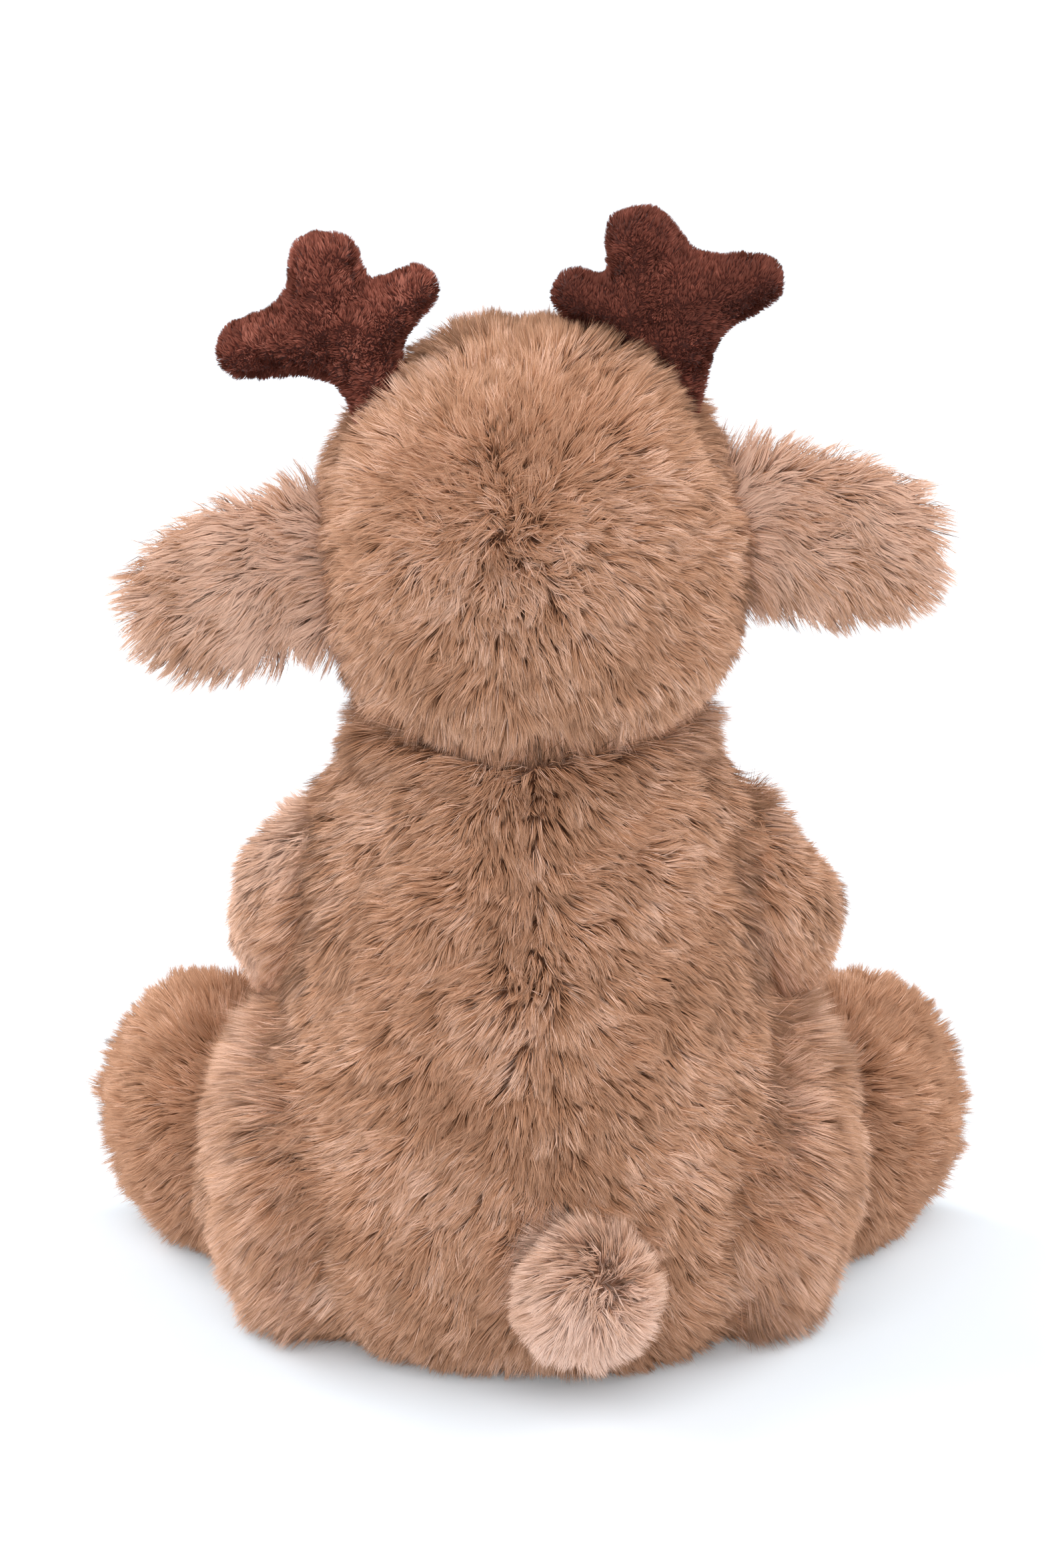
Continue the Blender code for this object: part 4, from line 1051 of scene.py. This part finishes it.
@dataclass
class Head:
    """The head and muzzle, with the crown's whorl at the back."""

    whorl: tuple[float, float, float] = (7 * MM, 28 * MM, 181 * MM)
    whorl_reach: float = 15 * MM
    whorl_turn: float = 30.0
    disorder: float = 45.0
    crown: tuple[float, float, float] = (11 * MM, 24 * MM, 195 * MM)
    crown_reach: float = 13 * MM
    # The head's crowd value is negative: painted shade in the creases round the head, such as under it at the neck.
    pile: Pile = Pile(crowd_push=0.4, crowd_growth=0.1, crowd_painted_shading=-0.1)
    eyes: tuple[tuple[float, float, float], ...] = (
        (17 * MM, -41 * MM, 175.7 * MM),
        (-15.9 * MM, -41 * MM, 178.6 * MM),
    )
    crown_pile: Pile = Pile(
        length=7.6 * MM, per_square_mm=7.0, root_lean=4.0, tip_lean=34.0, lock_swing=60.0
    )
    nose_tip: tuple[float, float, float] = (-0.5 * MM, -62 * MM, 165.5 * MM)
    muzzle_pile: Pile = Pile(length=5 * MM, tuft_pitch=3 * MM)
    fall: float = 0.35
    face_trim: float = 0.45
    # Painted shade at the upright crown.
    crown_painted_shade: float = -0.12
    eye_clearance: float = 4.6 * MM

    def forms(self) -> list[SewnForm]:
        """The stuffed forms of the head."""
        self.skull = SewnForm(
            "head_form",
            "head",
            ("head_skin_left", "head_skin_right", "head_stuffing"),
            Slot.TAN,
            TAN_GROUND,
            fill=0.85,
            seed=21,
        )
        self.muzzle = SewnForm(
            "muzzle_form",
            "head",
            ("muzzle_skin", "muzzle_stuffing"),
            Slot.LIGHT,
            LIGHT_GROUND,
            voxel=1.6 * MM,
            lumps=0.3 * MM,
            seed=22,
        )
        return [self.skull, self.muzzle]

    def comb(self, roots: Rows, normals: Rows) -> Rows:
        """Round and away from the whorl and a little down, and straight down over the face."""
        away = roots - np.array(self.whorl)
        far = np.linalg.norm(away, axis=1)
        ways = turned(flat_on(away, normals), normals, np.radians(self.whorl_turn) * self.near_whorl(roots))
        ways[:, 2] -= self.fall * smooth_step(far, 10 * MM, 40 * MM)
        ahead = smooth_step(-roots[:, 1], -14 * MM, 8 * MM)[:, None]
        return ways * (1 - ahead) + np.array((0.0, 0.25, -1.0)) * ahead

    def near_whorl(self, roots: Rows) -> Rows:
        """1 at the whorl, fading to 0 round it."""
        far = np.linalg.norm(roots - np.array(self.whorl), axis=1)
        return np.exp(-((far / self.whorl_reach) ** 2))

    def tousle(self, roots: Rows, normals: Rows) -> Rows:
        """Degrees of disorder, most at the crown."""
        return self.disorder * self.near_whorl(roots)

    def near_crown(self, roots: Rows) -> Rows:
        """1 at the upright patch of the crown, fading to 0 round it."""
        far = np.linalg.norm(roots - np.array(self.crown), axis=1)
        return np.exp(-((far / self.crown_reach) ** 2))

    def painted_shading(self, roots: Rows, normals: Rows) -> Rows:
        """Painted shade: darker at the upright crown, where the pile opens."""
        return self.crown_painted_shade * self.near_crown(roots)

    def at_crown(self, roots: Rows, normals: Rows) -> Rows:
        """The roots of the upright patch, thinning out at its edge, and of the whorl."""
        share = np.maximum(self.near_crown(roots), self.near_whorl(roots) ** 3)
        return share > 0.15 + 0.5 * np.abs(Ripple(208, 3 * MM).at(roots))

    def trim(self, roots: Rows, normals: Rows) -> Rows:
        """Shorter over the face and shortest round the eyes."""
        shares = 1 - self.face_trim * smooth_step(-roots[:, 1], 12 * MM, 32 * MM)
        for eye in self.eyes:
            shares *= 0.45 + 0.55 * smooth_step(
                np.linalg.norm(roots - np.array(eye), axis=1), 5 * MM, 13 * MM
            )
        return shares

    def off_eyes(self, roots: Rows, normals: Rows) -> Rows:
        """The roots clear of the eyes."""
        fars = [np.linalg.norm(roots - np.array(eye), axis=1) for eye in self.eyes]
        return np.all([far > self.eye_clearance for far in fars], axis=0)

    def comb_muzzle(self, roots: Rows, normals: Rows) -> Rows:
        """Back from the nose."""
        return roots - np.array(self.nose_tip)

    def dress(self, others: tuple[SewnForm, ...]) -> None:
        """Closes the forms and grows their pile.

        Args:
            others: The other stuffed forms.
        """
        self.skull.close_up()
        self.muzzle.close_up()
        Coat(
            "head_pile", self.skull, TAN_PILE, self.pile, self.comb, 200, others,
            self.off_eyes, self.painted_shading, self.tousle, self.trim,
        ).grow()
        Coat(
            "crown_pile", self.skull, TAN_PILE, self.crown_pile, self.comb, 215, others, self.at_crown,
            self.painted_shading
        ).grow()
        Coat(
            "muzzle_pile", self.muzzle, LIGHT_PILE, self.muzzle_pile, self.comb_muzzle, 230, others, slot=Slot.LIGHT
        ).grow()


@dataclass
class Ear:
    """A floppy oval ear: long pile behind, short lining pile in front."""

    side: Side
    pile: Pile = Pile(length=9 * MM, swing=18.0)
    lining: Pile = Pile(length=4.5 * MM, tuft_pitch=3 * MM)
    # Painted light: the ear paler all over.
    paleness: float = 0.42
    lining_edge: float = -0.35
    fall: float = 0.3

    def forms(self) -> list[SewnForm]:
        """The ear's stuffed form."""
        word = self.side.word
        self.form = SewnForm(
            "ear_form_" + word,
            word + "_ear",
            ("ear_outer_" + word, "ear_lining_" + word),
            Slot.TAN,
            TAN_GROUND,
            voxel=1.6 * MM,
            slack=0.4 * MM,
            lumps=0.5 * MM,
            lump_length=18 * MM,
            fill=0.35,
            seed=31 + self.side.value,
        )
        return [self.form]

    def comb(self, roots: Rows, normals: Rows) -> Rows:
        """Outward, fanning from the ear's root, and down."""
        low, high = self.form.box()
        middle = (low + high) / 2
        root = np.array((low[0] if self.side is Side.LEFT else high[0], middle[1], middle[2]))
        ways = unit(roots - root)
        ways[:, 2] -= self.fall
        return ways

    def painted_shading(self, roots: Rows, normals: Rows) -> Rows:
        """Painted light: paler all over, standing in for light through the thin ear and round its rims."""
        return np.full(len(roots), self.paleness)

    def behind(self, roots: Rows, normals: Rows) -> Rows:
        """The roots of the outer coat, on the back and edge of the ear."""
        return normals[:, 1] > self.lining_edge

    def ahead(self, roots: Rows, normals: Rows) -> Rows:
        """The roots of the lining, on the front of the ear."""
        return normals[:, 1] <= self.lining_edge

    def dress(self, others: tuple[SewnForm, ...]) -> None:
        """Closes the ear and grows its two coats.

        Args:
            others: The other stuffed forms.
        """
        self.form.close_up()
        word = self.side.word
        seed = 300 + self.side.value * 20
        Coat(
            "ear_pile_" + word, self.form, TAN_PILE, self.pile, self.comb, seed, others, self.behind,
            self.painted_shading
        ).grow()
        Coat(
            "ear_lining_pile_" + word, self.form, LIGHT_PILE, self.lining, self.comb, seed + 7, others,
            self.ahead, slot=Slot.LIGHT,
        ).grow()


@dataclass
class Antler:
    """A stuffed three-pronged antler in short nap."""

    side: Side
    # Painted light on the left antler, painted shade on the right one.
    left_antler_painted_light: float = 0.05
    right_antler_painted_shade: float = -0.42
    pile: Pile = Pile(
        length=1.8 * MM,
        width=0.16 * MM,
        per_square_mm=18.0,
        root_lean=15.0,
        tip_lean=50.0,
        tuft_pitch=2.5 * MM,
        tuft_pull=0.15,
        lock_pitch=1.0 * MM,
        lock_pull=0.3,
        swing=24.0,
        swing_length=9 * MM,
        droop=0.0,
        smoothness=0.7,
        crowd_push=0.3,
        crowd_growth=0.0,
    )

    def forms(self) -> list[SewnForm]:
        """The antler's stuffed form."""
        word = self.side.word
        self.form = SewnForm(
            "antler_form_" + word,
            word + "_antler",
            ("antler_skin_" + word, "antler_stuffing_" + word),
            Slot.ANTLER,
            ANTLER_GROUND,
            voxel=1.2 * MM,
            smoothing=2,
            slack=0.6 * MM,
            lumps=0.25 * MM,
            lump_length=12 * MM,
            seed=41 + self.side.value,
        )
        return [self.form]

    def comb(self, roots: Rows, normals: Rows) -> Rows:
        """Up and outward."""
        return np.tile((0.3 * self.side.value, 0.0, 1.0), (len(roots), 1))

    def painted_shading(self, roots: Rows, normals: Rows) -> Rows:
        """Painted shade on the right antler, a little darker than the left, and a touch of painted light on the
        left one.
        """
        return np.full(len(roots), self.left_antler_painted_light if self.side is Side.LEFT else self.right_antler_painted_shade)

    def dress(self, others: tuple[SewnForm, ...]) -> None:
        """Closes the antler and grows its nap.

        Args:
            others: The other stuffed forms.
        """
        self.form.close_up()
        seed = 400 + self.side.value * 20
        Coat(
            "antler_nap_" + self.side.word, self.form, ANTLER_NAP, self.pile, self.comb, seed, others,
            painted_shading=self.painted_shading, slot=Slot.ANTLER,
        ).grow()


@dataclass
class Arm:
    """A stuffed arm that hangs beside the body."""

    side: Side
    pile: Pile = Pile(length=7 * MM)
    # Painted light on the arms' outer sides, most on the left.
    left_painted_light: float = 0.4
    right_painted_light: float = 0.05

    def forms(self) -> list[SewnForm]:
        """The arm's stuffed form."""
        word = self.side.word
        self.form = SewnForm(
            "arm_form_" + word,
            word + "_arm",
            ("arm_skin_" + word, "arm_stuffing_" + word),
            Slot.TAN,
            TAN_GROUND,
            voxel=2 * MM,
            seed=51 + self.side.value,
        )
        return [self.form]

    def comb(self, roots: Rows, normals: Rows) -> Rows:
        """Down, and a little outward and forward."""
        return np.tile((0.35 * self.side.value, -0.2, -0.9), (len(roots), 1))

    def painted_shading(self, roots: Rows, normals: Rows) -> Rows:
        """Painted light: paler towards the outside (darker as painted shade for a negative value), most on the left
        arm, which the left lamp lights.
        """
        paleness = self.left_painted_light if self.side is Side.LEFT else self.right_painted_light
        return paleness * smooth_step(normals[:, 0] * self.side.value, -0.3, 0.6)

    def dress(self, others: tuple[SewnForm, ...]) -> None:
        """Closes the arm and grows its pile.

        Args:
            others: The other stuffed forms.
        """
        self.form.close_up()
        seed = 500 + self.side.value * 20
        Coat(
            "arm_pile_" + self.side.word, self.form, TAN_PILE, self.pile, self.comb, seed, others, painted_shading=self.painted_shading
        ).grow()


@dataclass
class Leg:
    """A rounded thigh and a big upright foot with a sewn sole pad."""

    side: Side
    ankle: tuple[float, float, float] = (54 * MM, -26 * MM, 30 * MM)
    crease_back: float = -21 * MM
    crease_depth: float = 6 * MM
    crease_width: float = 8 * MM
    fullness: float = 5 * MM
    meeting_rise: float = 7.5 * MM
    meeting_reach: float = 18 * MM
    toe_front: float = -66 * MM
    toe_length: float = 12 * MM
    toe_trim: float = 0.3
    # Painted light on the thigh's outer curve and painted shade in the ankle crease and over the foot.
    rim_painted_light: float = 0.25
    foot_painted_shade: float = 0.2
    pile: Pile = Pile()

    def forms(self) -> list[SewnForm]:
        """The stuffed forms of the leg."""
        word = self.side.word
        self.form = SewnForm(
            "leg_form_" + word,
            word + "_leg",
            ("leg_skin_" + word, "leg_stuffing_" + word),
            Slot.TAN,
            TAN_GROUND,
            voxel=2.4 * MM,
            seed=61 + self.side.value,
        )
        self.sole = SewnForm(
            "sole_form_" + word,
            word + "_leg",
            ("sole_pad_" + word,),
            Slot.LIGHT,
            SOLE_SUEDE,
            voxel=0.7 * MM,
            smoothing=1,
            slack=0.05 * MM,
            lumps=0.1 * MM,
            lump_length=9 * MM,
            fill=0.3,
            seed=64 + self.side.value,
        )
        return [self.form, self.sole]

    def comb(self, roots: Rows, normals: Rows) -> Rows:
        """Down and out over the thigh, and outward from the ankle over the foot."""
        thigh = np.array((0.55 * self.side.value, 0.1, -0.8))
        ankle = np.array(self.ankle) * (self.side.value, 1, 1)
        share = smooth_step(-roots[:, 1], 20 * MM, 34 * MM)[:, None]
        return thigh * (1 - share) + unit(roots - ankle) * share

    def fill_thigh(self) -> None:
        """Stuffs the thigh out backwards, so that it meets the body's side in a shallow crease."""
        mesh = self.form.piece.data
        points = points_of(mesh)
        points[:, 1] += self.fullness * smooth_step(normals_of(mesh)[:, 1], 0.0, 0.9)
        move_points(mesh, points)

    def meet_body(self, body: SewnForm) -> None:
        """Swells the thigh and the body towards each other.

        Args:
            body: The form of the body.
        """
        self.fill_thigh()
        self.form.swell_towards(body, self.meeting_rise, self.meeting_reach)
        body.swell_towards(self.form, self.meeting_rise, self.meeting_reach)

    def draw_in_ankle(self) -> None:
        """Draws the skin in between the thigh and the foot, off the ground."""
        mesh = self.form.piece.data
        points = points_of(mesh)
        depth = self.crease_depth * np.exp(-(((points[:, 1] - self.crease_back) / self.crease_width) ** 2))
        inward = np.array(self.ankle) * (self.side.value, 1, 1) - points
        inward[:, 1] = 0
        depth *= smooth_step(points[:, 2], 4 * MM, 20 * MM)
        move_points(mesh, points + unit(inward) * depth[:, None])

    def painted_shading(self, roots: Rows, normals: Rows) -> Rows:
        """Painted light on the thigh's outer curve; painted shade in the crease in front of it and over the foot.
        """
        behind = roots[:, 1] - self.crease_back
        rim = np.exp(-(((behind - 11 * MM) / (8 * MM)) ** 2))
        return self.rim_painted_light * rim - self.foot_painted_shade * smooth_step(-behind, -4 * MM, 6 * MM)

    def trim(self, roots: Rows, normals: Rows) -> Rows:
        """Shorter pile towards the toes, where it would hide the sole pad."""
        return 1 - self.toe_trim * smooth_step(
            self.toe_front + self.toe_length - roots[:, 1], 0.0, self.toe_length
        )

    def dress(self, others: tuple[SewnForm, ...]) -> None:
        """Closes the forms and grows the leg's pile.

        Args:
            others: The other stuffed forms.
        """
        self.draw_in_ankle()
        self.form.close_up()
        self.sole.close_up()
        seed = 600 + self.side.value * 20
        Coat(
            "leg_pile_" + self.side.word, self.form, TAN_PILE, self.pile, self.comb, seed, others,
            painted_shading=self.painted_shading, trim=self.trim,
        ).grow()


@dataclass
class Tail:
    """The round tail, its pile turning out from a whorl."""

    whorl: tuple[float, float, float] = (-17 * MM, 66 * MM, 32 * MM)
    whorl_reach: float = 6 * MM
    whorl_turn: float = 35.0
    disorder: float = 60.0
    # Painted light: the tail paler all over.
    paleness: float = 0.24
    pile: Pile = Pile(
        length=7.5 * MM, per_square_mm=14.0, tip_lean=56.0, lock_pull=0.3, lock_shade=0.06, strand_shade=0.14
    )

    def forms(self) -> list[SewnForm]:
        """The tail's stuffed form."""
        self.form = SewnForm(
            "tail_form", "tail", ("tail_skin", "tail_stuffing"), Slot.LIGHT, LIGHT_GROUND, voxel=1.8 * MM,
            seed=71
        )
        return [self.form]

    def comb(self, roots: Rows, normals: Rows) -> Rows:
        """Out from the whorl, turning as it leaves."""
        ways = flat_on(roots - np.array(self.whorl), normals)
        return turned(ways, normals, np.full(len(roots), math.radians(self.whorl_turn)))

    def tousle(self, roots: Rows, normals: Rows) -> Rows:
        """Degrees of disorder, most at the whorl."""
        far = np.linalg.norm(roots - np.array(self.whorl), axis=1)
        return self.disorder * np.exp(-((far / self.whorl_reach) ** 2))

    def painted_shading(self, roots: Rows, normals: Rows) -> Rows:
        """Painted light: paler all over, lifting the shade on the small round tail."""
        return np.full(len(roots), self.paleness)

    def dress(self, others: tuple[SewnForm, ...]) -> None:
        """Closes the tail and grows its pile.

        Args:
            others: The other stuffed forms.
        """
        self.form.close_up()
        Coat(
            "tail_pile", self.form, LIGHT_PILE, self.pile, self.comb, 700, others,
            None, self.painted_shading, self.tousle, slot=Slot.LIGHT,
        ).grow()


def give_plastic(name: str, finish: HardFinish) -> None:
    """Gives one of the frame's own pieces its plastic.

    Args:
        name: The piece's node.
        finish: The plastic.
    """
    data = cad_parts[name].data
    data.materials.clear()
    data.materials.append(finish.material())


@dataclass
class Inside:
    """The small pieces that the pile hides: the seat, the neck's wad and gather, and the washers."""

    def forms(self) -> list[SewnForm]:
        """The padded pieces of the seat and neck."""
        self.seat = SewnForm(
            "seat_base", "torso", ("seat_panel",), Slot.SEAT, SEAT_WEAVE, 1 * MM, 1, 0.05 * MM, 0.2, 0.05 * MM
        )
        self.wad = SewnForm(
            "neck_wad", "neck", ("neck_stuffing",), Slot.STUFFING, WADDING, 1.5 * MM, 2, 0.3 * MM, 0.9,
            0.3 * MM
        )
        self.gather = SewnForm(
            "neck_collar", "gather", ("neck_gather",), Slot.SEAT, TAN_GROUND, 0.9 * MM, 1, 0.05 * MM, 0.3,
            0.1 * MM
        )
        return [self.seat, self.wad, self.gather]

    def dress(self, others: tuple[SewnForm, ...]) -> None:
        """Closes the padded pieces and gives the washers their plastic.

        Args:
            others: The other stuffed forms, which these don't touch; not used.
        """
        for form in (self.seat, self.wad, self.gather):
            form.close_up()
        for name in ("eye_washer_left", "eye_washer_right", "nose_washer"):
            give_plastic(name, WASHER_PLASTIC)


@dataclass
class Face:
    """Safety eyes and a nose, plain and generic."""

    def dress(self) -> None:
        """Gives the eyes and nose their plastic."""
        for name, finish in (("eye_left", EYE_PLASTIC), ("eye_right", EYE_PLASTIC), ("nose", NOSE_PLASTIC)):
            give_plastic(name, finish)


@dataclass
class Studio:
    """A white floor and world, soft lamps on both sides and the camera behind the toy."""

    camera_azimuth: float = 180.0
    camera_rise: float = 17.5
    camera_reach: float = 1180 * MM
    camera_lens: float = 130.0
    aim: tuple[float, float, float] = (1.9 * MM, 0.0, 119.4 * MM)
    floor_half: float = 6.0
    floor_white: Dye = Dye(236, 243, 250)
    floor_lift: float = 0.16
    floor_roughness: float = 0.95
    world_level: float = 0.5
    lamps: tuple[tuple[str, tuple[float, float, float], float], ...] = (
        ("left rim", (1.0, -0.35, 0.9), 1.7),
        ("right rim", (-1.0, -0.2, 0.9), 1.3),
        ("fill", (0.1, 1.0, 0.8), 1.35),
    )
    spread: float = 50.0

    def set_up(self) -> None:
        """Builds the floor, world, lamps and camera."""
        self.lay_floor()
        self.light_world()
        for name, way, level in self.lamps:
            self.hang_lamp(name, way, level)
        self.place_camera()
        bpy.context.scene.view_settings.view_transform = "Standard"

    def lay_floor(self) -> None:
        """Lays the floor, which stays white to the camera outside the toy's shadow."""
        mesh = bpy.data.meshes.new("floor")
        reach = self.floor_half
        corners = [(-reach, -reach, 0), (reach, -reach, 0), (reach, reach, 0), (-reach, reach, 0)]
        mesh.from_pydata(corners, [], [(0, 1, 2, 3)])
        floor = new_piece("floor", mesh)
        material, board, shader = blank_material("white floor")
        camera = board.add("LightPath").outputs["Is Camera Ray"]
        lift = board.sum_of("MULTIPLY", camera, self.floor_lift)
        colour = self.floor_white.rgba()
        board.feed(
            shader,
            {
                "Base Color": colour, "Roughness": self.floor_roughness, "Emission Color": WHITE,
                "Emission Strength": lift
            },
        )
        shader.inputs["Specular IOR Level"].default_value = 0.0
        mesh.materials.append(material)

    def light_world(self) -> None:
        """Lights the world evenly, white where it is seen."""
        world = bpy.data.worlds.new("studio")
        world.use_nodes = True
        bpy.context.scene.world = world
        board = NodeBoard(world.node_tree)
        light = board.add("LightPath")
        seen = board.sum_of("MAXIMUM", light.outputs["Is Camera Ray"], light.outputs["Is Glossy Ray"])
        seen = board.sum_of("MAXIMUM", seen, light.outputs["Is Transmission Ray"])
        level = board.feed(board.add("Mix", data_type="FLOAT"), {0: seen, 2: self.world_level, 3: 1.0})
        backdrop = world.node_tree.nodes["Background"]
        board.feed(backdrop, {"Color": WHITE, "Strength": level.outputs[0]})

    def hang_lamp(self, name: str, way: tuple[float, float, float], level: float) -> None:
        """Hangs a lamp as even as a wide softbox.

        Args:
            name: The lamp's name.
            way: Where it hangs, seen from the toy.
            level: How much it lights a surface that faces it.
        """
        lamp = bpy.data.lights.new(name, "SUN")
        lamp.angle = math.radians(self.spread)
        lamp.energy = level
        hung = bpy.data.objects.new(name, lamp)
        bpy.context.scene.collection.objects.link(hung)
        place = Vector(way)
        hung.matrix_world = Matrix.Translation(place) @ place.to_track_quat("Z", "Y").to_matrix().to_4x4()

    def place_camera(self) -> None:
        """Places the camera at the photograph's viewing angle."""
        turn = math.radians(self.camera_azimuth)
        rise = math.radians(self.camera_rise)
        back = Vector((math.sin(turn) * math.cos(rise), -math.cos(turn) * math.cos(rise), math.sin(rise)))
        lens = bpy.data.cameras.new("camera")
        lens.lens = self.camera_lens
        camera = bpy.data.objects.new("camera", lens)
        bpy.context.scene.collection.objects.link(camera)
        place = Vector(self.aim) + back * self.camera_reach
        camera.matrix_world = Matrix.Translation(place) @ back.to_track_quat("Z", "Y").to_matrix().to_4x4()
        bpy.context.scene.camera = camera


def main() -> None:
    """Builds the toy's sub-assemblies in order, then the studio."""
    logging.basicConfig(level=logging.INFO, format="%(name)s: %(message)s")
    torso = Torso()
    assemblies = [torso, Head(), Tail(), Inside()]
    assemblies += [kind(side) for kind in (Ear, Antler, Arm, Leg) for side in Side]
    forms = []
    for assembly in assemblies:
        fresh = assembly.forms()
        for form in fresh:
            form.cut_blank()
            log.info("%s: blank of %d points", form.name, len(form.piece.data.vertices))
        forms.extend(fresh)
    PaddingBench().swell(forms)
    log.info("the blanks are stuffed")
    for form in forms:
        form.find_surface()
    for leg in (assembly for assembly in assemblies if isinstance(assembly, Leg)):
        leg.meet_body(torso.form)
    for form in forms:
        form.find_surface()
    for assembly in assemblies:
        assembly.dress(tuple(forms))
        log.info("%s: dressed", type(assembly).__name__)
    Face().dress()
    Studio().set_up()


if __name__ == "__main__":
    main()
